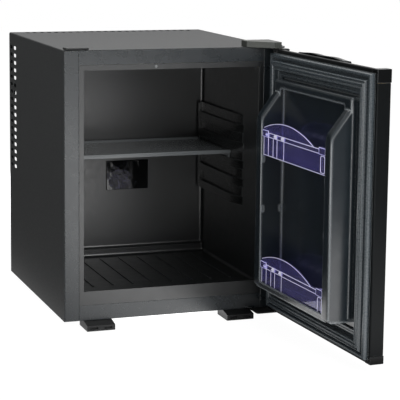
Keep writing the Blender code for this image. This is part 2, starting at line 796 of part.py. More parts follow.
def make_front_foot(name, left):
    """Front foot: a wedge-topped block that reaches past the front plane, with two slots in its face."""
    rear = FRONT_FOOT_LENGTH - FRONT_FOOT_REACH
    ground = -FOOT_HEIGHT
    side = rounded([
        (-FRONT_FOOT_REACH, ground, FOOT_ROUNDING),
        (-FRONT_FOOT_REACH, -FRONT_FOOT_SLOPE - FIT, FOOT_ROUNDING),
        (0, -FIT, 0), (rear, -FIT, 0), (rear, ground, FOOT_ROUNDING),
    ])
    foot = prism(name, [side], left, left + FRONT_FOOT_WIDTH, "X")
    centre = left + FRONT_FOOT_WIDTH / 2
    height = ground + (FOOT_HEIGHT - FRONT_FOOT_SLOPE) / 2
    half = Vector(FOOT_SLOT) / 2
    slots = []
    for x in spread(centre, 2, FRONT_FOOT_WIDTH / 2):
        middle = Vector((x, height))
        slots.append(rectangle(middle - half, middle + half))
    slot_rear = FOOT_SLOT_DEPTH - FRONT_FOOT_REACH
    cut(foot, prism(f"{name}_slots", slots, -FRONT_FOOT_REACH - CUT_THROUGH, slot_rear, "Y"))
    return finish(foot, "black_plastic")


def make_rear_foot(name, left):
    """Rear foot: a plain pad under the rear bay."""
    rear = DEPTH - REAR_FOOT_INSET
    foot = box(name, (left, rear - REAR_FOOT[1], -FOOT_HEIGHT), (left + REAR_FOOT[0], rear, -FIT))
    round_edges(foot, FOOT_ROUNDING)
    return finish(foot, "black_plastic")


def make_feet():
    """The four feet."""
    return [
        make_front_foot("foot_front_left", FRONT_FOOT_INSET),
        make_front_foot("foot_front_right", WIDTH - BOTTOM_PLATE_LENGTH - 2 * SHEET - FRONT_FOOT_WIDTH),
        make_rear_foot("foot_rear_left", FRONT_FOOT_INSET),
        make_rear_foot("foot_rear_right", WIDTH - FRONT_FOOT_INSET - REAR_FOOT[0]),
    ]


# Hinges

def make_hinge_bracket_top():
    """Flat plate on the cabinet's top with an arm that reaches out to the pivot."""
    left = WIDTH - HINGE_PLATE_LENGTH
    radius = HINGE_ARM_RADIUS
    outline = rounded([
        (left, 2 * SHEET, PLATE_ROUNDING), (left, HINGE_PLATE_BACK, PLATE_ROUNDING),
        (WIDTH - 2 * SHEET, HINGE_PLATE_BACK, PLATE_ROUNDING), (PIVOT_X + radius, -PIVOT_FRONT / 2, 0),
        (PIVOT_X + radius, -HINGE_TIP, radius * ROUND_SHARE),
        (PIVOT_X - radius, -HINGE_TIP, radius * ROUND_SHARE),
        (PIVOT_X - 2 * radius, 2 * SHEET, PLATE_ROUNDING),
    ])
    pivot = Vector((PIVOT_X, -PIVOT_FRONT))
    bore = PIN_RADIUS + FIT
    half = Vector((bore, bore))
    hole = rectangle(pivot - half, pivot + half, bore * ROUND_SHARE, BEND_STEPS)
    bracket = prism("hinge_bracket_top", [outline, hole], HEIGHT + FIT, HEIGHT + FIT + HINGE_PLATE, "Z")
    return finish(bracket, "zinc_steel")


def make_hinge_pin_top():
    """Headed pin that hangs through the top bracket into the door's upper bush."""
    head_low = HEIGHT + HINGE_PLATE + 2 * FIT
    head_high = head_low + PIN_HEAD
    tip = DOOR_TOP - PIN_LENGTH
    profile = [
        (0, head_high), (PIN_HEAD_RADIUS - PIN_CHAMFER, head_high),
        (PIN_HEAD_RADIUS, head_high - PIN_CHAMFER), (PIN_HEAD_RADIUS, head_low), (PIN_RADIUS, head_low),
        (PIN_RADIUS, tip + PIN_CHAMFER), (PIN_RADIUS - PIN_CHAMFER, tip), (0, tip),
    ]
    return finish(turned("hinge_pin_top", profile, (PIVOT_X, -PIVOT_FRONT, 0)), "zinc_steel")


def hinge_cover_outline(margin):
    """Outline of the hinge cover, drawn in by a margin."""
    left = WIDTH - HINGE_COVER_LENGTH + margin
    right = PIVOT_X - margin
    front = margin - HINGE_COVER_FRONT
    back = HINGE_COVER_BACK - margin
    return rounded([
        (left, margin, HINGE_COVER_ROUNDING), (left, back, HINGE_COVER_ROUNDING),
        (right, back, HINGE_COVER_ROUNDING), (right, front, HINGE_COVER_ROUNDING),
        (PIVOT_X - HINGE_COVER_NOSE, front, HINGE_COVER_ROUNDING),
    ])


def make_hinge_cover_top():
    """Moulded cover over the top bracket, open below and where the arm comes out, grooved at its nose."""
    low = HEIGHT + FIT
    high = HEIGHT + HINGE_COVER_HEIGHT
    roof = high - HINGE_COVER_WALL
    cover = prism("hinge_cover_top", [hinge_cover_outline(0)], low, high, "Z")
    round_edges(cover, HINGE_COVER_EDGE)
    inside = hinge_cover_outline(HINGE_COVER_WALL)
    hollow = prism("hinge_cover_hollow", [inside], low - CUT_THROUGH, roof, "Z")
    notch_low = (PIVOT_X - 2 * HINGE_COVER_WALL, -HINGE_TIP - FIT, low - CUT_THROUGH)
    notch_top = low + HINGE_PLATE + PIN_HEAD + 2 * FIT
    notch_high = (PIVOT_X + CUT_THROUGH, HINGE_PLATE_BACK + FIT, notch_top)
    notch = box("hinge_cover_notch", notch_low, notch_high)
    width, depth = HINGE_GROOVE
    grooves = []
    for index, x in enumerate(spread(PIVOT_X - HINGE_COVER_NOSE / 2, HINGE_GROOVES, HINGE_GROOVE_PITCH)):
        groove_low = (x - width / 2, -HINGE_COVER_FRONT - depth, low - CUT_THROUGH)
        groove_high = (x + width / 2, depth - HINGE_COVER_FRONT, roof)
        grooves.append(box(f"hinge_cover_groove_{index}", groove_low, groove_high))
    cut(cover, hollow, notch, *grooves)
    return finish(cover, "grey_plastic")


def make_hinge_bracket_bottom():
    """Flat plate under the cabinet with the lower hinge pin standing on it."""
    left = WIDTH - BOTTOM_PLATE_LENGTH
    radius = HINGE_ARM_RADIUS
    outline = rounded([
        (left, BOTTOM_PLATE_BACK, PLATE_ROUNDING), (WIDTH, BOTTOM_PLATE_BACK, PLATE_ROUNDING),
        (PIVOT_X + radius, 0, 0), (PIVOT_X + radius, -HINGE_TIP, radius * ROUND_SHARE),
        (left, -HINGE_TIP, 2 * PLATE_ROUNDING),
    ])
    bracket = prism("hinge_bracket_bottom", [outline], -FIT - HINGE_PLATE, -FIT, "Z")
    low = -FIT - HINGE_PLATE / 2
    high = DOOR_BOTTOM + PIN_LENGTH - 2 * SHEET
    pin = cylinder("hinge_pin_bottom", (PIVOT_X, -PIVOT_FRONT, (low + high) / 2), PIN_RADIUS, high - low)
    join(bracket, pin)
    return finish(bracket, "black_plastic")


def make_hinge_plug():
    """Cover plug over the unused hinge holes at the cabinet's top left."""
    low = Vector((PLUG_INSET[0], PLUG_INSET[1], HEIGHT + FIT))
    plug = box("hinge_plug_left", low, low + Vector(PLUG_SIZE))
    round_edges(plug, PLUG_ROUNDING)
    return finish(plug, "black_plastic")


# Cooling unit

def make_absorber_vessel():
    """Lying vessel at the bottom of the rear bay, on two saddles that stand on the base pan."""
    middle = (VESSEL_SPAN[0] + VESSEL_SPAN[1]) / 2
    length = VESSEL_SPAN[1] - VESSEL_SPAN[0]
    vessel = cylinder("absorber_vessel", (middle, UNIT_Y, VESSEL_HEIGHT), VESSEL_RADIUS, length, "X")
    round_edges(vessel, VESSEL_ROUNDING)
    reach = VESSEL_RADIUS * SADDLE_SHARE
    saddles = []
    for index, x in enumerate(VESSEL_SADDLES):
        low = (x - STRAP_WIDTH / 2, UNIT_Y - reach, SHEET + FIT)
        high = (x + STRAP_WIDTH / 2, UNIT_Y + reach, VESSEL_HEIGHT)
        saddles.append(box(f"vessel_saddle_{index}", low, high))
    join(vessel, *saddles)
    return finish(vessel, "black_tube")


def make_boiler_housing():
    """Upright insulated boiler with a strap to the closure plate."""
    low, high = BOILER_SPAN
    profile = [
        (0, high), (BOILER_NECK, high), (BOILER_RADIUS, high - BOILER_SHOULDER),
        (BOILER_RADIUS, low + BOILER_CHAMFER), (BOILER_RADIUS - BOILER_CHAMFER, low), (0, low),
    ]
    boiler = turned("boiler_housing", profile, (BOILER_X, UNIT_Y, 0), BOILER_STEPS)
    straps = []
    for index, z in enumerate((low + 2 * BOILER_RADIUS, high - 3 * BOILER_RADIUS)):
        strap_low = (BOILER_X - STRAP_WIDTH, BAY_FRONT, z)
        strap_high = (BOILER_X + STRAP_WIDTH, UNIT_Y, z + STRAP_WIDTH)
        straps.append(box(f"boiler_strap_{index}", strap_low, strap_high))
    join(boiler, *straps)
    return finish(boiler, "zinc_steel")


def make_absorber_coil():
    """Serpentine tube that climbs from the vessel to the evaporator block."""
    left, right = COIL_SPAN
    corners = [(left, UNIT_Y, VESSEL_HEIGHT + VESSEL_RADIUS + FIT)]
    for run in range(COIL_RUNS):
        z = COIL_BOTTOM + run * COIL_PITCH
        ends = (left, right) if run % 2 == 0 else (right, left)
        corners.append((ends[0], UNIT_Y, z))
        corners.append((ends[1], UNIT_Y, z))
    entry = EVAPORATOR_LEVEL - EVAPORATOR_SIZE[1] / 4
    block_rear = BAY_FRONT + EVAPORATOR_SIZE[2] + FIT
    corners.append((right, UNIT_Y, entry))
    corners.append((right, block_rear, entry))
    path = route(corners, COIL_PITCH * COIL_BEND_SHARE)
    return finish(tube("absorber_coil", path, COIL_RADIUS), "black_tube")


def make_evaporator_block():
    """Insulated block on the closure plate where the tubes pass to the cold side."""
    width, height, thickness = EVAPORATOR_SIZE
    low = Vector((EVAPORATOR_X - width / 2, BAY_FRONT, EVAPORATOR_LEVEL - height / 2))
    block = box("evaporator_block", low, low + Vector((width, thickness, height)))
    round_edges(block, EVAPORATOR_ROUNDING)
    return finish(block, "foam")


def make_condenser():
    """Finned tube along the top of the bay, from the boiler's neck to the evaporator block."""
    left, right = CONDENSER_SPAN
    block_rear = BAY_FRONT + EVAPORATOR_SIZE[2] + FIT
    entry = EVAPORATOR_LEVEL + EVAPORATOR_SIZE[1] / 4
    entry_x = EVAPORATOR_X - EVAPORATOR_SIZE[0] / 2 + CONDENSER_ENTRY
    corners = [
        (BOILER_X, UNIT_Y, BOILER_SPAN[1] + FIT), (BOILER_X, UNIT_Y, CONDENSER_HEIGHT),
        (left, UNIT_Y, CONDENSER_HEIGHT - CONDENSER_FALL), (left, UNIT_Y, entry),
        (entry_x, UNIT_Y, entry), (entry_x, block_rear, entry),
    ]
    condenser = tube("condenser", route(corners, CONDENSER_BEND), CONDENSER_RADIUS)
    thickness, depth, height = FIN_SIZE
    half = Vector((thickness / 2, depth / 2, height / 2))
    fins = []
    for index, x in enumerate(spread((left + right) / 2, FINS, FIN_PITCH)):
        centre = Vector((x, UNIT_Y, CONDENSER_HEIGHT - CONDENSER_FALL / 2))
        fins.append(box(f"condenser_fin_{index}", centre - half, centre + half))
    join(condenser, *fins)
    return finish(condenser, "aluminium")


def control_box_bounds():
    """Low and high corners of the control box on the closure plate."""
    x, z = CONTROL_BOX_CENTRE
    size = Vector(CONTROL_BOX_SIZE)
    low = Vector((x - size.x / 2, BAY_FRONT, z - size.z / 2))
    return low, low + size


def make_control_box():
    """Closed terminal box beside the boiler."""
    low, high = control_box_bounds()
    housing = box("control_box", low, high)
    round_edges(housing, CONTROL_BOX_ROUNDING)
    return finish(housing, "black_plastic")


def make_power_inlet():
    """Recessed mains inlet on the control box's outer side."""
    low, high = control_box_bounds()
    half = Vector(INLET_SIZE) / 2
    centre = Vector((high.x + FIT + half.x, (low.y + high.y) / 2, (low.z + high.z) / 2))
    inlet = box("power_inlet", centre - half, centre + half)
    reach, width, height = INLET_RECESS
    outer = centre.x + half.x
    recess_low = (outer - reach, centre.y - width / 2, centre.z - height / 2)
    recess_high = (outer + CUT_THROUGH, centre.y + width / 2, centre.z + height / 2)
    cut(inlet, box("inlet_recess", recess_low, recess_high))
    return finish(inlet, "black_plastic")


# Door, in its own coordinates: s runs from the hinge end to the free end, v rises from the inner face towards
# the cabinet and z is the cabinet's height

def door_x(s):
    """Place along the closed door."""
    return WIDTH - s


def door_y(v):
    """Place across the closed door."""
    return v - DOOR_GAP


def door_box(name, s, v, z):
    """Box from spans along, across and up the door."""
    return box(name, (door_x(s[1]), door_y(v[0]), z[0]), (door_x(s[0]), door_y(v[1]), z[1]))


def door_prism(name, outline, s):
    """Prism along the door from an outline of (v, z) points."""
    return prism(name, [[(door_y(v), z) for v, z in outline]], door_x(s[1]), door_x(s[0]), "X")


def edge_section(top_drop=0.0):
    """Section of an edge profile as (inset, v) points; a top drop slopes its outer side away."""
    sheet = DOOR_SHEET
    outer = -DOOR_THICKNESS
    knee = -DOOR_TOP_FLAT if top_drop else outer / 2
    reach = DOOR_FLANGE_OUTER + top_drop
    return rounded([
        (DOOR_FLANGE_INNER, 0, 0), (0, 0, DOOR_INNER_RADIUS), (0, knee, 0),
        (top_drop, outer, DOOR_EDGE_RADIUS), (reach, outer, 0), (reach, outer + sheet, 0),
        (top_drop + sheet, outer + sheet, DOOR_EDGE_RADIUS - sheet), (sheet, knee, 0),
        (sheet, -sheet, 0), (DOOR_FLANGE_INNER, -sheet, 0),
    ])


def make_door_edges():
    """The four edge profiles, which run between the corner caps."""
    run_s = (CAP_LENGTH + FIT, DOOR_LENGTH - CAP_LENGTH - FIT)
    run_z = (DOOR_BOTTOM + CAP_BOTTOM_HEIGHT + FIT, DOOR_TOP - CAP_TOP_HEIGHT - FIT)
    top = [(v, DOOR_TOP - inset) for inset, v in edge_section(DOOR_TOP_DROP)]
    bottom = [(v, DOOR_BOTTOM + inset) for inset, v in edge_section()]
    hinge = [(door_x(inset), door_y(v)) for inset, v in edge_section()]
    free = [(door_x(DOOR_LENGTH - inset), door_y(v)) for inset, v in edge_section()]
    edges = [
        door_prism("door_edge_top", top, run_s),
        door_prism("door_edge_bottom", bottom, run_s),
        prism("door_edge_hinge", [hinge], *run_z, "Z"),
        prism("door_edge_free", [free], *run_z, "Z"),
    ]
    return [finish(edge, "painted_steel") for edge in edges]


def make_door_cap(name, at_free_end, at_top):
    """Hollow corner cap of the door, a little proud of the edge profiles."""
    height = CAP_TOP_HEIGHT if at_top else CAP_BOTTOM_HEIGHT

    def span_s(near, far):
        """Span measured in from the cap's door end."""
        return (DOOR_LENGTH - far, DOOR_LENGTH - near) if at_free_end else (near, far)

    def span_z(near, far):
        """Span measured in from the cap's door edge."""
        return (DOOR_TOP - far, DOOR_TOP - near) if at_top else (DOOR_BOTTOM + near, DOOR_BOTTOM + far)

    sheet = DOOR_SHEET
    outer = -DOOR_THICKNESS
    past = CAP_TOP_HEIGHT + CAP_LENGTH
    depth = (outer - CAP_PROUD, CAP_PROUD)
    cap = door_box(name, span_s(-CAP_PROUD, CAP_LENGTH), depth, span_z(-CAP_PROUD, height))
    round_edges(cap, CAP_ROUNDING)
    face = (DOOR_FLANGE_INNER, past)
    cut(
        cap,
        door_box(f"{name}_pocket", span_s(sheet, past), (outer + sheet, -sheet), span_z(sheet, past)),
        door_box(f"{name}_face", span_s(*face), (-2 * sheet, sheet), span_z(*face)),
    )
    if not at_free_end:
        edge = DOOR_TOP if at_top else DOOR_BOTTOM
        place = (PIVOT_X, -PIVOT_FRONT, edge)
        cut(cap, cylinder(f"{name}_bush_hole", place, BUSH_RADIUS + FIT, 4 * sheet))
    return finish(cap, "painted_steel")


def make_door_caps():
    """The four corner caps."""
    return [
        make_door_cap("door_cap_top_hinge", False, True),
        make_door_cap("door_cap_top_free", True, True),
        make_door_cap("door_cap_bottom_hinge", False, False),
        make_door_cap("door_cap_bottom_free", True, False),
    ]


def make_door_skin():
    """Outer panel held behind the flanges of the edge profiles."""
    inset = DOOR_EDGE_RADIUS + FIT
    outer = -DOOR_THICKNESS + DOOR_SHEET + FIT
    height = (DOOR_BOTTOM + inset, DOOR_TOP - DOOR_TOP_DROP - inset)
    skin = door_box("door_skin", (inset, DOOR_LENGTH - inset), (outer, outer + DOOR_PANEL), height)
    return finish(skin, "painted_steel")


def make_door_grip():
    """Raised strip along the door's top edge with sloped ends."""
    inner, outer = (-GRIP_DEPTH[0], -GRIP_DEPTH[1])
    slope = DOOR_TOP_DROP / (DOOR_THICKNESS - DOOR_TOP_FLAT)

    def edge_height(v):
        """Height of the door's sloped top edge, with the fit above it."""
        return DOOR_TOP - (-v - DOOR_TOP_FLAT) * slope + FIT

    section = rounded([
        (inner, edge_height(inner), 0), (inner, DOOR_TOP + GRIP_RISE, GRIP_ROUNDING[0]),
        (outer, DOOR_TOP - GRIP_RISE / 2, GRIP_ROUNDING[1]), (outer, edge_height(outer), 0),
    ])
    grip = door_prism("door_grip", section, GRIP)
    length, drop, rise = GRIP_END
    ends = []
    for end, way in ((GRIP[0], 1), (GRIP[1], -1)):
        outside = door_x(end - way * CUT_THROUGH)
        ends.append([
            (outside, DOOR_TOP - drop), (outside, DOOR_TOP + rise),
            (door_x(end + way * length), DOOR_TOP + rise),
        ])
    cut(grip, prism("grip_ends", ends, door_y(outer) - CUT_THROUGH, door_y(inner) + CUT_THROUGH, "Y"))
    return finish(grip, "painted_steel")


def make_bush(name, edge, inward):
    """Flanged nylon bush that lines a pivot hole; inward is the way into the door."""
    flange = edge - inward * (CAP_PROUD + FIT)
    lip = flange - inward * BUSH_FLANGE
    tip = edge + inward * BUSH_LENGTH
    profile = [
        (BUSH_BORE, lip), (BUSH_FLANGE_RADIUS, lip), (BUSH_FLANGE_RADIUS, flange), (BUSH_RADIUS, flange),
        (BUSH_RADIUS, tip), (BUSH_BORE, tip),
    ]
    if inward > 0:
        profile.reverse()
    bush = turned(name, profile, (PIVOT_X, -PIVOT_FRONT, 0))
    return finish(bush, "white_nylon")


def make_bushes():
    """The upper and the lower bush."""
    return [make_bush("door_bush_top", DOOR_TOP, -1), make_bush("door_bush_bottom", DOOR_BOTTOM, 1)]


def dyke(name, start, inset):
    """Upright dyke of the door liner, drawn in on every side by an inset."""
    crest = DYKE_CREST - inset
    base = PLATEAU_RISE - inset
    back = -PLATEAU_RISE / 2
    bottom = DYKE_BOTTOM + inset
    side = rounded([
        (back, bottom, 0), (0, bottom, 0), (crest, bottom, 0),
        (crest, DYKE_SLOPE_START - inset / 2, DYKE_SLOPE_RADII[0] - inset),
        (base, DYKE_SLOPE_END - inset, DYKE_SLOPE_RADII[1] - inset), (back, DYKE_SLOPE_END - inset, 0),
    ])
    block = door_prism(name, side, (start + inset, start + DYKE_WIDTH - inset))
    round_edges(block, DYKE_ROUNDING - inset, 3)
    return block


def dyke_starts():
    """Where the hinge-side and the free-side dyke begin along the door."""
    return (DYKE_INSET, DOOR_LENGTH - DYKE_INSET - DYKE_WIDTH)


def bay_span(margin=0.0):
    """Span between the two dykes, drawn in by a margin."""
    return (DYKE_INSET + DYKE_WIDTH + margin, DOOR_LENGTH - DYKE_INSET - DYKE_WIDTH - margin)


def make_door_liner():
    """Vacuum-formed door liner: a plateau, two upright dykes, a recess between them and a ledge."""
    wall = LINER_WALL
    edge = DOOR_FLANGE_INNER + FIT
    behind = -PLATEAU_RISE
    low, high = bay_span()
    height = (DOOR_BOTTOM + edge, DOOR_TOP - edge)
    liner = door_box("door_liner", (edge, DOOR_LENGTH - edge), (-2 * wall, 0), height)
    plateau_s = (PLATEAU_INSET, DOOR_LENGTH - PLATEAU_INSET)
    plateau = door_box("liner_plateau", plateau_s, (behind, PLATEAU_RISE), (PLATEAU_BOTTOM, PLATEAU_TOP))
    round_edges(plateau, PLATEAU_RADIUS, 3)
    recess_height = (DYKE_BOTTOM - wall, RECESS_TOP)
    recess = door_box("liner_recess", (low, high), (RECESS_FLOOR, DYKE_CREST), recess_height)
    round_edges(recess, RECESS_RADIUS)
    cut(plateau, recess)
    raised = [plateau]
    raised.extend(dyke(f"liner_dyke_{index}", start, 0) for index, start in enumerate(dyke_starts()))
    rim = GUARD_FACE + FIT
    crest = rim + LEDGE_RIM_WALL
    foot_radius, rim_radius = LEDGE_ROUNDING
    ledge = rounded([
        (-wall, DYKE_BOTTOM + FIT, 0), (crest, DYKE_BOTTOM + FIT, foot_radius),
        (crest, DYKE_BOTTOM + LEDGE_RIM, rim_radius), (rim, DYKE_BOTTOM + LEDGE_RIM, rim_radius),
        (rim, LEDGE_TOP, 0), (-wall, LEDGE_TOP, 0),
    ])
    raised.append(door_prism("liner_ledge", ledge, (low - DYKE_WIDTH / 2, high + DYKE_WIDTH / 2)))
    across, depth, tall = PEG_SIZE
    for index, level in enumerate(PEG_LEVELS):
        for place, rise in enumerate(PEG_RISES):
            v = (rise - depth / 2, rise + depth / 2)
            z = (level - tall / 2, level + tall / 2)
            raised.append(door_box(f"liner_peg_{index}_{place}_hinge", (low - wall / 2, low + across), v, z))
            raised.append(door_box(f"liner_peg_{index}_{place}_free", (high - across, high + wall / 2), v, z))
    join(liner, *raised)
    back = door_box("liner_back", (0, DOOR_LENGTH), (-DOOR_THICKNESS, -wall), (0, HEIGHT))
    cut(liner, back, *liner_hollow("hollow", wall, -DOOR_THICKNESS / 2))
    return finish(liner, "liner_plastic")


def liner_hollow(prefix, inset, back):
    """Shapes of the space behind the raised door liner, drawn in from its surface by an inset."""
    span_s = (PLATEAU_INSET + inset, DOOR_LENGTH - PLATEAU_INSET - inset)
    span_z = (DYKE_BOTTOM + LINER_WALL + inset, PLATEAU_TOP - inset)
    shapes = [door_box(f"{prefix}_plateau", span_s, (back, RECESS_FLOOR - inset), span_z)]
    for index, start in enumerate(dyke_starts()):
        shapes.append(dyke(f"{prefix}_dyke_{index}", start, inset))
    return shapes


def make_door_foam():
    """Insulation of the door, which also fills the hollow behind the raised liner."""
    inset = DOOR_SHEET + 2 * FIT
    outer = -DOOR_THICKNESS + DOOR_SHEET + DOOR_PANEL + 2 * FIT
    inner = -LINER_WALL - FIT
    top = DOOR_TOP - DOOR_TOP_DROP - inset
    foam = door_box("door_foam", (inset, DOOR_LENGTH - inset), (outer, inner), (DOOR_BOTTOM + inset, top))
    holes = []
    for name, edge in (("top", DOOR_TOP), ("bottom", DOOR_BOTTOM)):
        place = (PIVOT_X, -PIVOT_FRONT, edge)
        holes.append(cylinder(f"foam_bush_hole_{name}", place, BUSH_RADIUS + FIT, 2 * (BUSH_LENGTH + FIT)))
    cut(foam, *holes)
    join(foam, *liner_hollow("filling", LINER_WALL + 2 * FIT, (outer + inner) / 2))
    return finish(foam, "foam")


def make_door_gasket():
    """Magnetic gasket: a mitred frame with an outer lip, a groove and a main bulb."""
    outer = GASKET_OUTER
    inner = GASKET_INNER
    bulb = inner - GASKET_TOE
    bulb_end = bulb - GASKET_BULB
    lip_width, lip_height = GASKET_LIP
    foot = FIT + GASKET_FOOT
    small = GASKET_FOOT_ROUNDING
    large = GASKET_ROUNDING
    section = rounded([
        (outer, FIT, small), (inner, FIT, small), (inner, foot, small), (bulb, foot, 0),
        (bulb, GASKET_HEIGHT, large), (bulb - GASKET_CREST, GASKET_HEIGHT, 0),
        (bulb_end, GASKET_HEIGHT - GASKET_FALL, large), (bulb_end, foot, 0), (outer + lip_width, foot, 0),
        (outer + lip_width, lip_height, large), (outer, lip_height, large),
    ], COARSE_STEPS)
    low = (door_x(DOOR_LENGTH), DOOR_BOTTOM)
    high = (door_x(0), DOOR_TOP)
    return finish(mitred_ring("door_gasket", section, low, high, door_y(0)), "gasket_rubber")


def guard_crest(base):
    """Points of the guard's arched top edge, from the hinge side to where it meets the rail."""
    near, far = GUARD_CREST_SPAN
    low, high = bay_span(FIT)
    start = Vector((low + near, GUARD_CREST_ENDS[0]))
    end = Vector((low + far, GUARD_CREST_ENDS[1]))
    middle = (start + end) / 2
    rise = GUARD_CREST - middle.y
    half = (end - start).length / 2
    radius = (half * half + rise * rise) / (2 * rise)
    across = (end - start).normalized()
    up = Vector((-across.y, across.x))
    centre = middle + up * (rise - radius)
    reach = math.asin(half / radius)
    crest = []
    for step in range(CREST_STEPS + 1):
        angle = reach * (2 * step / CREST_STEPS - 1)
        point = centre + radius * (across * math.sin(angle) + up * math.cos(angle))
        crest.append((door_x(point.x), base + point.y))
    return crest


def end_span(end, way, near, far):
    """Span measured in from one end of a guard."""
    return sorted((end + way * near, end + way * far))


def make_guard(name, base):
    """Clear guard that holds bottles in the door: arched front, floor, end wings, rail and end blocks."""
    low, high = bay_span(FIT)
    wall = GUARD_WALL
    back = RECESS_FLOOR + RECESS_RADIUS + FIT
    inner = GUARD_FACE - wall
    rail_low, rail_high = GUARD_RAIL
    front = [(door_x(low), base + GUARD_FLOOR_RISE), (door_x(low), base + GUARD_CREST_ENDS[0])]
    front.extend(guard_crest(base))
    front.extend([(door_x(high), base + rail_high), (door_x(high), base + GUARD_FLOOR_RISE)])
    guard = prism(name, [front], door_y(inner), door_y(GUARD_FACE), "Y")
    floor_z = (base + GUARD_FLOOR_RISE + FIT, base + GUARD_FLOOR_RISE + FIT + wall)
    inside = wall / 2
    block_length, block_low, block_high = GUARD_BLOCK
    block_v = (inner - inside, GUARD_FACE + 2 * GUARD_RAIL_PROUD)
    rib_z = (base + GUARD_FLOOR_RISE + inside, base + GUARD_WING_HEIGHT - inside)
    block_z = (base + block_low, base + block_high)
    wing_v = (back, GUARD_FACE - inside)
    wing_z = (base, base + GUARD_WING_HEIGHT)
    rail_v = (inner + inside, GUARD_FACE + GUARD_RAIL_PROUD)
    rail_z = (base + rail_low, base + rail_high)
    across = (low + inside, high - inside)
    pieces = [
        door_box(f"{name}_floor", across, (back + inside, GUARD_FACE - inside), floor_z),
        door_box(f"{name}_rail", across, rail_v, rail_z),
    ]
    for side, end, way in (("hinge", low, 1), ("free", high, -1)):
        pieces.append(door_box(f"{name}_wing_{side}", end_span(end, way, 0, wall), wing_v, wing_z))
        block_s = end_span(end, way, inside, block_length)
        block = door_box(f"{name}_block_{side}", block_s, block_v, block_z)
        round_edges(block, GUARD_RAIL_PROUD / 2)
        pieces.append(block)
        rib_s = end_span(end, way, inside, wall + inside)
        for index, v in enumerate(GUARD_WING_RIBS):
            pieces.append(door_box(f"{name}_rib_{side}_{index}", rib_s, (v - inside, v + inside), rib_z))
    join(guard, *pieces)
    return finish(guard, "violet_plastic")


def make_guards():
    """Upper guard on the pegs and lower guard on the liner's ledge."""
    peg_top = PEG_LEVELS[0] + PEG_SIZE[2] / 2
    return [make_guard("guard_upper", peg_top + FIT), make_guard("guard_lower", LEDGE_TOP + FIT)]


def make_shelf():
    """Shelf with side skirts that stand on a ladder rib, a front lip and a rear upstand."""
    edge = LADDER_BASE + FIT
    clear = LADDER_REACH + FIT
    left = OPEN_LEFT + edge
    right = OPEN_RIGHT - edge
    notch = LADDER_REAR - LADDER_POST - FIT
    rear = LADDER_REAR - FIT
    top = SHELF_SEAT + SHELF_RISE
    plate = [
        (left, SHELF_FRONT), (right, SHELF_FRONT), (right, notch), (OPEN_RIGHT - clear, notch),
        (OPEN_RIGHT - clear, rear), (OPEN_LEFT + clear, rear), (OPEN_LEFT + clear, notch), (left, notch),
    ]
    shelf = prism("shelf", [plate], top - SHELF_PLATE, top, "Z")
    lip_depth, lip_height = SHELF_LIP
    lip_top = top + SHELF_LIP_RISE
    lip_low = (SHELF_FRONT - FIT, lip_top - lip_height)
    lip = rectangle(lip_low, (SHELF_FRONT + lip_depth, lip_top), SHELF_LIP_ROUNDING, COARSE_STEPS)
    inside = top - SHELF_PLATE / 2
    pieces = [prism("shelf_lip", [lip], left + FIT, right - FIT, "X")]
    for side, start in (("left", left + FIT), ("right", right - FIT - SHELF_SKIRT)):
        skirt_low = (start, SHELF_FRONT + lip_depth / 2, SHELF_SEAT)
        pieces.append(box(f"shelf_skirt_{side}", skirt_low, (start + SHELF_SKIRT, notch - FIT, inside)))
    thickness, rise = SHELF_UPSTAND
    upstand_low = (OPEN_LEFT + clear + FIT, rear - thickness, inside)
    pieces.append(box("shelf_upstand", upstand_low, (OPEN_RIGHT - clear - FIT, rear - FIT, top + rise)))
    join(shelf, *pieces)
    return finish(shelf, "liner_plastic")


# Assembly

def pivot_empty():
    """Empty on the hinge axis that carries the door."""
    pivot = bpy.data.objects.new("door_pivot", None)
    PARTS.objects.link(pivot)
    pivot.location = (PIVOT_X, -PIVOT_FRONT, 0)
    return pivot


def hang_on(carrier, parts):
    """Let parts follow an empty, from where they were modelled."""
    for part in parts:
        part.parent = carrier
        part.matrix_parent_inverse = carrier.matrix_basis.inverted()


def footprint(parts):
    """Lowest and highest corner of the parts as they stand."""
    graph = bpy.context.evaluated_depsgraph_get()
    corners = []
    for part in parts:
        shown = part.evaluated_get(graph)
        mesh = shown.to_mesh()
        places = numpy.empty(len(mesh.vertices) * 3)
        mesh.vertices.foreach_get("co", places)
        matrix = numpy.array(shown.matrix_world)
        world = places.reshape(-1, 3) @ matrix[:3, :3].T + matrix[:3, 3]
        corners.append(world.min(axis=0))
        corners.append(world.max(axis=0))
        shown.to_mesh_clear()
    return numpy.min(corners, axis=0), numpy.max(corners, axis=0)


def make_cabinet():
    """Every piece that stays with the cabinet."""
    return [
        make_outer_wrap(), make_base_pan(), *make_front_frame(), make_inner_liner(), make_cabinet_foam(),
        make_rear_closure(), make_shelf_ladder("shelf_ladder_left", OPEN_LEFT, 1),
        make_shelf_ladder("shelf_ladder_right", OPEN_RIGHT, -1), make_back_wall_cover(), make_door_sensor(),
        *make_feet(), make_hinge_bracket_top(), make_hinge_pin_top(), make_hinge_cover_top(),
        make_hinge_bracket_bottom(), make_hinge_plug(), make_absorber_vessel(), make_boiler_housing(),
        make_absorber_coil(), make_evaporator_block(), make_condenser(), make_control_box(),
        make_power_inlet(),
    ]


def make_door():
    """Every piece that turns with the door."""
    return [
        make_door_skin(), *make_door_edges(), *make_door_caps(), make_door_grip(), make_door_foam(),
        make_door_liner(), make_door_gasket(), *make_bushes(),
    ]


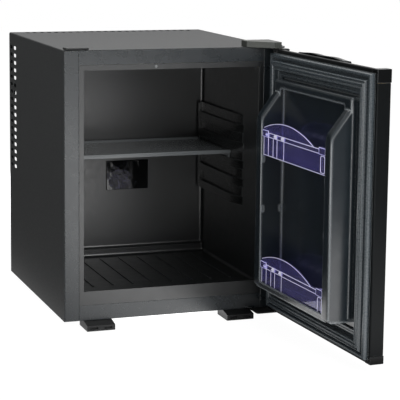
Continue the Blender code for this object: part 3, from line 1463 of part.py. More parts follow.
def main():
    """Build the fridge, open its door and stand it on the origin."""
    cabinet = make_cabinet()
    door = make_door()
    guards = make_guards()
    shelf = make_shelf()
    pivot = pivot_empty()
    hang_on(pivot, door + guards)
    pivot.rotation_euler.z = OPEN_ANGLE
    root = bpy.data.objects.new("fridge_root", None)
    PARTS.objects.link(root)
    for part in cabinet + [shelf, pivot]:
        part.parent = root
    low, high = footprint(cabinet + door + guards + [shelf])
    root.location = (-(low[0] + high[0]) / 2, -(low[1] + high[1]) / 2, -low[2])
    bpy.context.view_layer.update()
    print("hinge axis at", [round(value, 5) for value in pivot.matrix_world.translation])


main()
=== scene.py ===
"""Looks of a small display fridge with its door open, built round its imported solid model.

Lengths are in metres. The cabinet's front faces -Y, +Z is up and the object stands on z = 0. Each
sub-assembly is a class that dresses its solids or makes finer pieces in their place, and each finish is
a frozen dataclass that builds its own procedural material.
"""
from __future__ import annotations

import json
import logging
import math
from dataclasses import dataclass
from enum import Enum
from typing import Any, Sequence

import bmesh
import bpy
from mathutils import Matrix, Vector

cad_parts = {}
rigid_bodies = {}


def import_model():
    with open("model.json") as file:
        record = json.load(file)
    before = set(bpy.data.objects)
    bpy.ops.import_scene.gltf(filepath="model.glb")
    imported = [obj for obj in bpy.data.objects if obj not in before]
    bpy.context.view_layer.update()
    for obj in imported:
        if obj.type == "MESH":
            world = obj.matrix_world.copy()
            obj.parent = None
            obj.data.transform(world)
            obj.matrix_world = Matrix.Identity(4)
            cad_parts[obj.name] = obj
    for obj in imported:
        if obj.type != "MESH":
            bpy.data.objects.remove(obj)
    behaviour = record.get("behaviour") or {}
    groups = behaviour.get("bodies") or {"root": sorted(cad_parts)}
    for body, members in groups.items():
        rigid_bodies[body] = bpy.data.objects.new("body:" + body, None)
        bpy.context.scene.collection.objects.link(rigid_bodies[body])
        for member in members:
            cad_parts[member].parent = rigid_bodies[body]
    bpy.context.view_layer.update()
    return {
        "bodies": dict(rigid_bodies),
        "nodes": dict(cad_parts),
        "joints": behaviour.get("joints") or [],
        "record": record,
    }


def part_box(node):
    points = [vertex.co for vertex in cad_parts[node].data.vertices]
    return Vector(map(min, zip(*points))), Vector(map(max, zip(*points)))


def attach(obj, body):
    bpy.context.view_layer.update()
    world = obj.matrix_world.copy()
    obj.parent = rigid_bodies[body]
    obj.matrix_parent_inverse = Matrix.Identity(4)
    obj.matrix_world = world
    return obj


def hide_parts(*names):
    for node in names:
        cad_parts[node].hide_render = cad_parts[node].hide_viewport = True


LOG = logging.getLogger("display_fridge")
MM = 0.001
PHOTO_PIXELS = 400
Point = tuple[float, float, float]
Point2 = tuple[float, float]
Band = tuple[str, float, float]
Tree = bpy.types.NodeTree
Socket = bpy.types.NodeSocket
Piece = bpy.types.Object
# The Mix node's sockets share their names between its kinds, so they are reached by place.
COLOUR_A, COLOUR_B, COLOUR_MIXED = 6, 7, 2
VALUE_A, VALUE_B, VALUE_MIXED = 2, 3, 0
# Noise mostly stays inside these bands, so colour and gloss are spread over them.
MOTTLE_BAND = (0.35, 0.65)
HEIGHT_BAND = (0.3, 0.7)
MOTTLE_DETAIL = 3.0
NOISE_ROUGHNESS = 0.55
# How far a surface turns at an edge, as a cosine, where its pale tone starts and where it is full.
EDGE_BAND = (0.995, 0.90)
EDGE_SHARE = 0.7
EDGE_SAMPLES = 4


class Texture(Enum):
    """How a surface's fine relief is laid out."""

    STIPPLE = "stipple"
    ORANGE_PEEL = "orange_peel"
    SPANGLE = "spangle"
    BRUSHED = "brushed"
    CELLS = "cells"


NOISE_DETAIL = {Texture.STIPPLE: 4.0, Texture.ORANGE_PEEL: 1.5, Texture.BRUSHED: 6.0}


class Body(Enum):
    """The moving bodies of the fridge."""

    CABINET = "cabinet"
    DOOR = "door"
    UPPER_GUARD = "upper_guard"
    LOWER_GUARD = "lower_guard"
    SHELF = "shelf"


def linear(code: str) -> tuple[float, float, float, float]:
    """Turn an sRGB hex code into a linear colour.

    Args:
        code: Six hex digits, such as "3a3f44".

    Returns:
        Linear red, green, blue and an alpha of 1.
    """
    channels = []
    for start in (0, 2, 4):
        value = int(code[start:start + 2], 16) / 255
        channels.append(value / 12.92 if value <= 0.04045 else ((value + 0.055) / 1.055) ** 2.4)
    return (channels[0], channels[1], channels[2], 1.0)


def add_node(tree: Tree, kind: str, inputs: dict[Any, Any] | None = None, **settings: Any) -> bpy.types.Node:
    """Add a node with its settings and links.

    Args:
        tree: The node tree that takes the node.
        kind: The node's type name.
        inputs: Values, or output sockets to link, by input name or index.
        settings: Attributes of the node.

    Returns:
        The new node.
    """
    node = tree.nodes.new(kind)
    for name, value in settings.items():
        setattr(node, name, value)
    for key, value in (inputs or {}).items():
        if isinstance(value, Socket):
            tree.links.new(value, node.inputs[key])
        else:
            node.inputs[key].default_value = value
    return node


def new_object(name: str, data: bpy.types.ID) -> Piece:
    """Link a new object to the scene, at the origin.

    Args:
        name: The object's name.
        data: The mesh, curve, light or camera that it holds.

    Returns:
        The new object.
    """
    item = bpy.data.objects.new(name, data)
    bpy.context.scene.collection.objects.link(item)
    return item


def from_shape(name: str, shape: bmesh.types.BMesh) -> Piece:
    """Make a new object of a finished shape, and free the shape.

    Args:
        name: The name of the object and of its mesh.
        shape: The shape.

    Returns:
        The new object.
    """
    mesh = bpy.data.meshes.new(name)
    shape.to_mesh(mesh)
    shape.free()
    return new_object(name, mesh)


@dataclass(frozen=True)
class Finish:
    """A real material: its colours, gloss and surface relief, with its scales in millimetres.

    A relief that is too fine to show in the render is drawn coarser, and the finish's comment says so.
    """

    name: str
    colour: str
    mottle: str
    roughness: float
    texture: Texture
    grain_mm: float
    relief_mm: float
    mottle_mm: float = 60.0
    mottle_share: float = 0.5
    roughness_swing: float = 0.06
    metallic: float = 0.0
    stretch: Point = (1.0, 1.0, 1.0)
    edge: str | None = None
    edge_mm: float = 0.8
    coat: float = 0.0
    coat_roughness: float = 0.1
    transmission: float = 0.0
    ior: float = 1.5
    specular: float = 0.5
    glow: float = 0.0

    def relief(self, tree: Tree, place: Socket) -> Socket:
        """Make the height pattern of the surface.

        Args:
            tree: The material's node tree.
            place: Object coordinates, already stretched.

        Returns:
            The socket that carries the height.
        """
        scale = 1 / (self.grain_mm * MM)
        cells = {Texture.SPANGLE: ("F1", "Color"), Texture.CELLS: ("SMOOTH_F1", "Distance")}
        if self.texture in cells:
            feature, output = cells[self.texture]
            return add_node(tree, "ShaderNodeTexVoronoi", {"Vector": place, "Scale": scale},
                            feature=feature).outputs[output]
        noise = add_node(tree, "ShaderNodeTexNoise",
                         {"Vector": place, "Scale": scale, "Detail": NOISE_DETAIL[self.texture],
                          "Roughness": NOISE_ROUGHNESS})
        return noise.outputs["Fac"]

    def material(self) -> bpy.types.Material:
        """Build the procedural material, once.

        Returns:
            The material of this finish.
        """
        known = bpy.data.materials.get(self.name)
        if known:
            return known
        material = bpy.data.materials.new(self.name)
        material.use_nodes = True
        tree = material.node_tree
        shader = tree.nodes["Principled BSDF"]
        place = add_node(tree, "ShaderNodeTexCoord").outputs["Object"]
        stretched = add_node(tree, "ShaderNodeMapping", {"Vector": place, "Scale": self.stretch}).outputs[0]
        patches = add_node(tree, "ShaderNodeTexNoise",
                           {"Vector": place, "Scale": 1 / (self.mottle_mm * MM),
                            "Detail": MOTTLE_DETAIL}).outputs["Fac"]
        spread = add_node(tree, "ShaderNodeMapRange",
                          {"Value": patches, "From Min": MOTTLE_BAND[0], "From Max": MOTTLE_BAND[1],
                           "To Min": 0.0, "To Max": self.mottle_share}).outputs["Result"]
        colour = add_node(tree, "ShaderNodeMix",
                          {"Factor": spread, COLOUR_A: linear(self.colour), COLOUR_B: linear(self.mottle)},
                          data_type="RGBA").outputs[COLOUR_MIXED]
        height = self.relief(tree, stretched)
        gloss = add_node(tree, "ShaderNodeMapRange",
                         {"Value": height, "From Min": HEIGHT_BAND[0], "From Max": HEIGHT_BAND[1],
                          "To Min": self.roughness - self.roughness_swing,
                          "To Max": self.roughness + self.roughness_swing}).outputs["Result"]
        # Paler edges: rubbing on some finishes, painted highlights on others.
        if self.edge:
            colour = self.rubbed_and_highlighted(tree, colour)
        bump = add_node(tree, "ShaderNodeBump",
                        {"Strength": 1.0, "Distance": self.relief_mm * MM,
                         "Height": height}).outputs["Normal"]
        tree.links.new(colour, shader.inputs["Base Color"])
        tree.links.new(gloss, shader.inputs["Roughness"])
        tree.links.new(bump, shader.inputs["Normal"])
        # Emission at the glow strength is a painted glow: the piece shines though it is no lamp.
        constants = {"Metallic": self.metallic, "IOR": self.ior, "Specular IOR Level": self.specular,
                     "Coat Weight": self.coat, "Coat Roughness": self.coat_roughness,
                     "Transmission Weight": self.transmission, "Emission Color": linear(self.colour),
                     "Emission Strength": self.glow}
        for name, value in constants.items():
            shader.inputs[name].default_value = value
        return material

    def rubbed_and_highlighted(self, tree: Tree, colour: Socket) -> Socket:
        """Lighten the colour along edges: where a finish is rubbed or drawn thin, and as a painted highlight.

        Args:
            tree: The material's node tree.
            colour: The colour away from edges.

        Returns:
            The socket of the colour with its edges.
        """
        rounded = add_node(tree, "ShaderNodeBevel", {"Radius": self.edge_mm * MM},
                           samples=EDGE_SAMPLES).outputs["Normal"]
        true = add_node(tree, "ShaderNodeNewGeometry").outputs["Normal"]
        alike = add_node(tree, "ShaderNodeVectorMath", {0: rounded, 1: true}, operation="DOT_PRODUCT")
        share = add_node(tree, "ShaderNodeMapRange",
                         {"Value": alike.outputs["Value"], "From Min": EDGE_BAND[0],
                          "From Max": EDGE_BAND[1], "To Min": 0.0, "To Max": EDGE_SHARE}).outputs["Result"]
        return add_node(tree, "ShaderNodeMix",
                        {"Factor": share, COLOUR_A: colour, COLOUR_B: linear(self.edge)},
                        data_type="RGBA").outputs[COLOUR_MIXED]


# Powder coat on steel sheet: baked on, a near-black that goes grey in sheen. The pebble of the powder is
# drawn coarse enough to show.
POWDER_COAT = Finish("powder_coated_steel", "1b1e1f", "202324", 0.46, Texture.ORANGE_PEEL, 1.6, 0.02,
                     roughness_swing=0.05, edge="4c5154", edge_mm=0.7, specular=0.45)
# The same coat on the door's folded edges: blacker and smoother, with paler corners painted as highlights.
DOOR_COAT = Finish("powder_coated_door_edge", "141617", "191b1c", 0.32, Texture.ORANGE_PEEL, 2.0, 0.015,
                   roughness_swing=0.04, edge="777d80", edge_mm=0.8, specular=0.08)
# Satin paint on the folded front frame: smoother and a little bluer than the wrap. Its wave is drawn wider
# than the real one, which is too fine to show.
SATIN_PAINT = Finish("satin_painted_steel", "20262a", "262c30", 0.28, Texture.ORANGE_PEEL, 15.0, 0.010,
                     roughness_swing=0.02, edge="6a7174", edge_mm=0.7, specular=0.9)
# High-impact polystyrene, drawn over a tool by vacuum: soft satin with a faint, wide waviness.
FORMED_POLYSTYRENE = Finish("vacuum_formed_polystyrene", "1d1f20", "222425", 0.31, Texture.ORANGE_PEEL,
                            12.0, 0.012, roughness_swing=0.03, edge="3a3e40", edge_mm=0.9, specular=1.0)
# The same sheet on the door, drawn deeper: glossier, with wide, pale corners painted as highlights.
DOOR_POLYSTYRENE = Finish("deep_drawn_polystyrene", "22282d", "283035", 0.20, Texture.ORANGE_PEEL, 12.0,
                          0.012, roughness_swing=0.03, edge="b4bbbe", edge_mm=5.0, specular=0.5)
# Moulded polystyrene of the ladders: nearly black with paler edges painted as highlights. The tool's
# stipple is drawn coarse enough to show.
MOULDED_POLYSTYRENE = Finish("injection_moulded_polystyrene", "121313", "181919", 0.26, Texture.STIPPLE, 0.9,
                             0.02, edge="6a6e6f", edge_mm=1.6, specular=0.8)
# The shelf's plate: the same plastic and stipple in a paler grey, with rubbed edges.
SHELF_POLYSTYRENE = Finish("moulded_shelf_polystyrene", "6a6e70", "717577", 0.24, Texture.STIPPLE, 0.9, 0.02,
                           edge="8b8f90", edge_mm=1.0, specular=0.6)
# Polished styrene plate: mirror-like, with the slow ripple of a thin moulding that swirls what it reflects.
POLISHED_STYRENE = Finish("polished_styrene", "1a1b1b", "202121", 0.06, Texture.ORANGE_PEEL, 26.0, 0.9,
                          roughness_swing=0.02, coat=0.6, coat_roughness=0.04, edge="3c3f40", edge_mm=0.6)
# Black polypropylene of the feet, the plug, the bottom bracket and the boxes: dull. The texture of the
# spark-eroded tool is drawn coarse enough to show.
BLACK_POLYPROPYLENE = Finish("black_polypropylene", "161718", "1c1d1e", 0.46, Texture.STIPPLE, 0.8, 0.03,
                             edge="3a3c3d", edge_mm=0.6)
# Grey ABS of the hinge cover: satin, with faint, yellowed patches and paler edges.
HINGE_ABS = Finish("moulded_grey_abs", "4a4d4a", "53554e", 0.34, Texture.STIPPLE, 1.1, 0.02, edge="868882",
                   edge_mm=0.6, specular=0.25)
# Extruded PVC of the gasket: soft, dusty blue grey, paler along its ridges as a painted highlight.
GASKET_PVC = Finish("extruded_gasket_pvc", "40484d", "495156", 0.28, Texture.STIPPLE, 2.2, 0.006,
                    mottle_mm=30.0, edge="aab3b8", edge_mm=1.0, specular=0.6)
# Gloss ABS of the door's corner caps and grip: polished black, with paler corners painted as highlights.
GLOSS_ABS = Finish("gloss_black_abs", "111213", "161718", 0.16, Texture.ORANGE_PEEL, 7.0, 0.010,
                   roughness_swing=0.03, edge="a0a6a9", edge_mm=0.8, specular=0.15)
# Electro-galvanised sheet: a pale metal with soft, flat crystals.
ZINC_SHEET = Finish("zinc_plated_sheet", "a4a6a7", "8d9092", 0.36, Texture.SPANGLE, 7.0, 0.01,
                    metallic=1.0, mottle_mm=25.0, roughness_swing=0.08)
# Zinc-plated fasteners and pins: brighter and finer than sheet.
ZINC_FASTENER = Finish("bright_zinc_fastener", "bfc1c2", "a9abad", 0.28, Texture.STIPPLE, 0.6, 0.01,
                       metallic=1.0, mottle_mm=6.0)
# Lacquered steel tube: gloss black dip lacquer with soft runs.
LACQUERED_TUBE = Finish("black_lacquered_tube", "17181a", "222325", 0.30, Texture.ORANGE_PEEL, 5.0, 0.05,
                        coat=0.3, coat_roughness=0.2, edge="2e3032", edge_mm=0.6)
# Mill-finish aluminium fins: drawn lines across the sheet.
MILL_ALUMINIUM = Finish("mill_finish_aluminium", "b4b6b8", "9b9da0", 0.34, Texture.BRUSHED, 1.2, 0.01,
                        metallic=1.0, mottle_mm=18.0, stretch=(1.0, 1.0, 0.08))
# Rigid polyurethane foam: cut face with open cells.
RIGID_FOAM = Finish("rigid_polyurethane_foam", "c9ab6c", "b7975a", 0.85, Texture.CELLS, 1.4, 0.25,
                    mottle_mm=20.0)
# Clear violet styrene: polished, lets the dark door show through.
VIOLET_STYRENE = Finish("clear_violet_styrene", "9c97d8", "a6a1de", 0.04, Texture.ORANGE_PEEL, 30.0, 0.004,
                        roughness_swing=0.02, transmission=0.88, ior=1.30)
# Beads of the same styrene: pale painted highlights along the guards' edges, with a faint painted glow.
VIOLET_HIGHLIGHT_BEAD = Finish("violet_styrene_painted_highlight", "eceaff", "bdb8ee", 0.14, Texture.STIPPLE, 2.0, 0.02,
                     mottle_mm=9.0, roughness_swing=0.04, ior=1.45, glow=0.22)
# Natural nylon of the bushes: milky and slightly waxy.
NATURAL_NYLON = Finish("natural_nylon", "dcdbd4", "cfcec6", 0.42, Texture.STIPPLE, 1.0, 0.02)
# Clear polycarbonate lens of the sensor.
CLEAR_LENS = Finish("clear_polycarbonate", "d8dcdc", "cfd4d4", 0.05, Texture.ORANGE_PEEL, 3.0, 0.01,
                    roughness_swing=0.02, transmission=0.6, ior=1.58)


@dataclass
class Workshop:
    """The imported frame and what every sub-assembly does with it."""

    frame: dict[str, Any]
    weld: float = 0.01 * MM
    flat_angle: float = 0.2
    edge_smooth_angle: float = 50.0
    face_weight: int = 100

    def dress(self, node: str, finish: Finish) -> None:
        """Give a solid of the frame a finish.

        Args:
            node: The solid's name.
            finish: What it is made of.
        """
        solid = self.frame["nodes"][node]
        solid.data.materials.clear()
        solid.data.materials.append(finish.material())
        LOG.info("%s: %s", node, finish.name)

    def flatten(self, item: Piece) -> None:
        """Turn a piece and its modifiers into a plain mesh.

        Args:
            item: The piece.
        """
        graph = bpy.context.evaluated_depsgraph_get()
        mesh = bpy.data.meshes.new_from_object(item.evaluated_get(graph))
        mesh.name = item.name
        item.modifiers.clear()
        item.data = mesh

    def settle(self, item: Piece, smooth_angle: float = 35.0) -> Piece:
        """Give a piece smooth shading with sharp edges, and leave it a plain mesh.

        Args:
            item: The piece.
            smooth_angle: Edges sharper than this angle in degrees stay sharp.

        Returns:
            The same piece.
        """
        self.flatten(item)
        item.data.shade_smooth()
        item.data.set_sharp_from_angle(angle=math.radians(smooth_angle))
        weights = item.modifiers.new("face_weights", "WEIGHTED_NORMAL")
        weights.keep_sharp = True
        weights.weight = self.face_weight
        self.flatten(item)
        return item

    def place(self, item: Piece, body: Body, slot: str, finish: Finish,
              nodes: Sequence[str] = ()) -> Piece:
        """Give a finished piece its material, its body and the solids that it stands for.

        Args:
            item: The piece.
            body: The body that it moves with.
            slot: The record's material slot; not used.
            finish: What it is made of.
            nodes: Solids that it replaces.

        Returns:
            The same piece.
        """
        item.data.materials.clear()
        item.data.materials.append(finish.material())
        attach(item, body.value)
        if nodes:
            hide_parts(*nodes)
        LOG.info("%s: %s, %d faces", item.name, finish.name, len(item.data.polygons))
        return item

    def edged(self, node: str, body: Body, slot: str, finish: Finish, width_mm: float = 0.5,
              segments: int = 2, angle: float = 40.0) -> Piece:
        """Make a copy of a solid with its sharp edges broken, and let it stand for the solid.

        Args:
            node: The solid's name.
            body: The body that it moves with.
            slot: The record's material slot.
            finish: What it is made of.
            width_mm: Width of the broken edges.
            segments: Faces across each edge.
            angle: Edges sharper than this angle in degrees are broken.

        Returns:
            The new piece.
        """
        item = new_object(f"{node}_edged", self.frame["nodes"][node].data.copy())
        shape = bmesh.new()
        shape.from_mesh(item.data)
        bmesh.ops.remove_doubles(shape, verts=shape.verts, dist=self.weld)
        bmesh.ops.dissolve_limit(shape, angle_limit=math.radians(self.flat_angle), verts=shape.verts,
                                 edges=shape.edges)
        shape.to_mesh(item.data)
        shape.free()
        bevel = item.modifiers.new("broken_edges", "BEVEL")
        bevel.width = width_mm * MM
        bevel.segments = segments
        bevel.limit_method = "ANGLE"
        bevel.angle_limit = math.radians(angle)
        bevel.miter_outer = "MITER_ARC"
        self.settle(item, self.edge_smooth_angle)
        return self.place(item, body, slot, finish, (node,))


@dataclass
class Fasteners:
    """Pan-head screws with a cross recess, set out by a node tree on marked points."""

    workshop: Workshop
    head_radius: float = 3.2 * MM
    head_height: float = 1.6 * MM
    recess_width: float = 1.0 * MM
    recess_depth: float = 1.1 * MM
    crown_share: float = 0.72
    recess_share: float = 1.05
    sides: int = 20
    smooth_angle: float = 30.0

    def tree(self) -> Tree:
        """Build the node tree that puts a screw head on every point, along the point's aim.

        Returns:
            The tree, with the head's sizes as named inputs.
        """
        tree = bpy.data.node_groups.new("pan_head_screws", "GeometryNodeTree")
        tree.interface.new_socket("Points", in_out="INPUT", socket_type="NodeSocketGeometry")
        for name in ("Head Radius", "Head Height", "Recess Width", "Recess Depth"):
            tree.interface.new_socket(name, in_out="INPUT", socket_type="NodeSocketFloat")
        tree.interface.new_socket("Metal", in_out="INPUT", socket_type="NodeSocketMaterial")
        tree.interface.new_socket("Screws", in_out="OUTPUT", socket_type="NodeSocketGeometry")
        given = add_node(tree, "NodeGroupInput").outputs
        # The bars of the recess are centred on the head's top, so they are twice as tall as it is deep.
        crown, arm, deep = (add_node(tree, "ShaderNodeMath", {0: given[name], 1: share}, operation="MULTIPLY")
                            for name, share in (("Head Radius", self.crown_share),
                                                ("Head Radius", self.recess_share), ("Recess Depth", 2.0)))
        head = add_node(tree, "GeometryNodeMeshCone",
                        {"Vertices": self.sides, "Side Segments": 1, "Radius Top": crown.outputs[0],
                         "Radius Bottom": given["Head Radius"], "Depth": given["Head Height"]})
        lifted = add_node(tree, "ShaderNodeCombineXYZ", {"Z": given["Head Height"]})
        bars = []
        for first, second in (("X", "Y"), ("Y", "X")):
            size = add_node(tree, "ShaderNodeCombineXYZ",
                            {first: arm.outputs[0], second: given["Recess Width"], "Z": deep.outputs[0]})
            bar = add_node(tree, "GeometryNodeMeshCube", {"Size": size.outputs[0]})
            bars.append(add_node(tree, "GeometryNodeTransform",
                                 {"Geometry": bar.outputs[0], "Translation": lifted.outputs[0]}))
        cross = add_node(tree, "GeometryNodeMeshBoolean", operation="UNION")
        for bar in bars:
            tree.links.new(bar.outputs[0], cross.inputs["Mesh 2"])
        recessed = add_node(tree, "GeometryNodeMeshBoolean", {"Mesh 1": head.outputs["Mesh"]},
                            operation="DIFFERENCE")
        tree.links.new(cross.outputs["Mesh"], recessed.inputs["Mesh 2"])
        aim = add_node(tree, "GeometryNodeInputNamedAttribute", {"Name": "aim"}, data_type="FLOAT_VECTOR")
        turn = add_node(tree, "FunctionNodeAlignRotationToVector", {"Vector": aim.outputs[0]}, axis="Z")
        set_out = add_node(tree, "GeometryNodeInstanceOnPoints",
                           {"Points": given["Points"], "Instance": recessed.outputs["Mesh"],
                            "Rotation": turn.outputs[0]})
        real = add_node(tree, "GeometryNodeRealizeInstances", {"Geometry": set_out.outputs[0]})
        shaded = add_node(tree, "GeometryNodeSetMaterial",
                          {"Geometry": real.outputs[0], "Material": given["Metal"]})
        add_node(tree, "NodeGroupOutput", {"Screws": shaded.outputs[0]})
        return tree

    def drive(self, name: str, places: Sequence[tuple[Point, Point]], body: Body, slot: str,
              finish: Finish = ZINC_FASTENER) -> Piece:
        """Drive screws in at places.

        Args:
            name: The piece's name.
            places: For each screw the seat of its head and the way its head faces.
            body: The body that they hold on to.
            slot: The record's material slot.
            finish: What they are made of.

        Returns:
            One piece that holds all the screw heads.
        """
        tree = bpy.data.node_groups.get("pan_head_screws") or self.tree()
        mesh = bpy.data.meshes.new(name)
        mesh.from_pydata([Vector(seat) for seat, _ in places], [], [])
        aims = mesh.attributes.new("aim", "FLOAT_VECTOR", "POINT")
        for entry, (_, way) in zip(aims.data, places):
            entry.vector = way
        item = new_object(name, mesh)
        modifier = item.modifiers.new("screws", "NODES")
        modifier.node_group = tree
        sizes = {"Head Radius": self.head_radius, "Head Height": self.head_height,
                 "Recess Width": self.recess_width, "Recess Depth": self.recess_depth,
                 "Metal": finish.material()}
        for socket in tree.interface.items_tree:
            if socket.in_out == "INPUT" and socket.name in sizes:
                modifier[socket.identifier] = sizes[socket.name]
        self.workshop.settle(item, self.smooth_angle)
        return self.workshop.place(item, body, slot, finish)


@dataclass
class Cabinet:
    """The painted case, its front frame, the liner and what is fixed in it."""

    workshop: Workshop
    wrap_edge_mm: float = 0.35
    frame_edge_mm: float = 0.55
    liner_edge_mm: float = 0.7
    ladder_edge_mm: float = 0.8
    foot_edge_mm: float = 0.5
    screw_inset: float = 12 * MM
    screws_a_side: int = 5

    def build(self) -> None:
        """Dress the case and the pieces in it."""
        shop = self.workshop
        shop.edged("outer_wrap", Body.CABINET, "painted_steel", POWDER_COAT, self.wrap_edge_mm)
        for node in ("front_stile_left", "front_stile_right", "front_rail_top", "front_rail_bottom"):
            shop.edged(node, Body.CABINET, "frame_steel", SATIN_PAINT, self.frame_edge_mm)
        shop.edged("inner_liner", Body.CABINET, "liner_plastic", FORMED_POLYSTYRENE, self.liner_edge_mm)
        for node in ("shelf_ladder_left", "shelf_ladder_right"):
            shop.edged(node, Body.CABINET, "liner_plastic", MOULDED_POLYSTYRENE, self.ladder_edge_mm)
        shop.dress("back_wall_cover", POLISHED_STYRENE)
        shop.dress("door_sensor", CLEAR_LENS)
        shop.dress("cabinet_foam", RIGID_FOAM)
        shop.dress("base_pan", ZINC_SHEET)
        shop.dress("rear_closure_plate", ZINC_SHEET)
        for node in ("foot_front_left", "foot_front_right", "foot_rear_left", "foot_rear_right"):
            shop.edged(node, Body.CABINET, "black_plastic", BLACK_POLYPROPYLENE, self.foot_edge_mm)
        shop.dress("hinge_plug_left", BLACK_POLYPROPYLENE)

    def screws(self, fasteners: Fasteners) -> None:
        """Screw the closure plate to the case along its edges.

        Args:
            fasteners: Who drives the screws.
        """
        low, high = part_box("rear_closure_plate")
        inset = self.screw_inset
        places: list[tuple[Point, Point]] = []
        seat = high.y + fasteners.head_height / 2
        for step in range(self.screws_a_side):
            z = low.z + inset + (high.z - low.z - 2 * inset) * step / (self.screws_a_side - 1)
            places += [((x, seat, z), (0, 1, 0)) for x in (low.x + inset, high.x - inset)]
        fasteners.drive("closure_plate_screws", places, Body.CABINET, "zinc_steel")


@dataclass
class Hinges:
    """The top bracket with its cover, the bottom bracket and the pins."""

    workshop: Workshop
    cover_edge_mm: float = 0.5
    cover_edge_angle: float = 50.0
    bracket_edge_mm: float = 0.4
    screw_places: Point2 = (10 * MM, 32 * MM)
    screw_inset: float = 10 * MM

    def build(self) -> None:
        """Dress the hinge pieces."""
        shop = self.workshop
        shop.dress("hinge_bracket_top", ZINC_SHEET)
        shop.dress("hinge_pin_top", ZINC_FASTENER)
        shop.edged("hinge_cover_top", Body.CABINET, "grey_plastic", HINGE_ABS, self.cover_edge_mm,
                   angle=self.cover_edge_angle)
        shop.edged("hinge_bracket_bottom", Body.CABINET, "black_plastic", BLACK_POLYPROPYLENE,
                   self.bracket_edge_mm)
        shop.dress("door_bush_top", NATURAL_NYLON)
        shop.dress("door_bush_bottom", NATURAL_NYLON)

    def screws(self, fasteners: Fasteners) -> None:
        """Screw the bottom bracket to the cabinet from below.

        Args:
            fasteners: Who drives the screws.
        """
        low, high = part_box("hinge_bracket_bottom")
        seat = low.z - fasteners.head_height / 2
        places = [((low.x + along, high.y - self.screw_inset, seat), (0.0, 0.0, -1.0))
                  for along in self.screw_places]
        fasteners.drive("bottom_bracket_screws", places, Body.CABINET, "zinc_steel")


@dataclass
class CoolingUnit:
    """The absorption unit in the open rear bay. The shallow edges between its tubes' facets stay unbroken."""

    workshop: Workshop
    edge_mm: float = 0.4
    fin_edge_mm: float = 0.2
    segments: int = 1
    angle: float = 60.0

    def build(self) -> None:
        """Dress the tubes, the vessel, the boiler and the boxes."""
        shop = self.workshop
        for node in ("absorber_vessel", "absorber_coil"):
            shop.edged(node, Body.CABINET, "black_tube", LACQUERED_TUBE, self.edge_mm, self.segments,
                       self.angle)
        shop.edged("boiler_housing", Body.CABINET, "zinc_steel", ZINC_SHEET, self.edge_mm, self.segments,
                   self.angle)
        shop.edged("condenser", Body.CABINET, "aluminium", MILL_ALUMINIUM, self.fin_edge_mm, self.segments,
                   self.angle)
        shop.dress("evaporator_block", RIGID_FOAM)
        for node in ("control_box", "power_inlet"):
            shop.edged(node, Body.CABINET, "black_plastic", BLACK_POLYPROPYLENE, self.edge_mm)


@dataclass
class DoorFrame:
    """The door's own coordinates: s along it from the hinge end, v out of its inner face, z up."""

    pivot: Vector
    angle: float
    pivot_inset: float = 7 * MM
    pivot_depth: float = 10 * MM
    floor: float = 15 * MM

    def point(self, s: float, v: float, z: float) -> Vector:
        """World place of a point of the door at rest.

        Args:
            s: Distance from the hinge end.
            v: Height above the inner face.
            z: Height above the cabinet's underside.

        Returns:
            The place in world coordinates.
        """
        across = self.pivot_inset - s
        out = v + self.pivot_depth
        cosine = math.cos(self.angle)
        sine = math.sin(self.angle)
        return Vector((self.pivot.x + across * cosine - out * sine,
                       self.pivot.y + across * sine + out * cosine, z + self.floor))


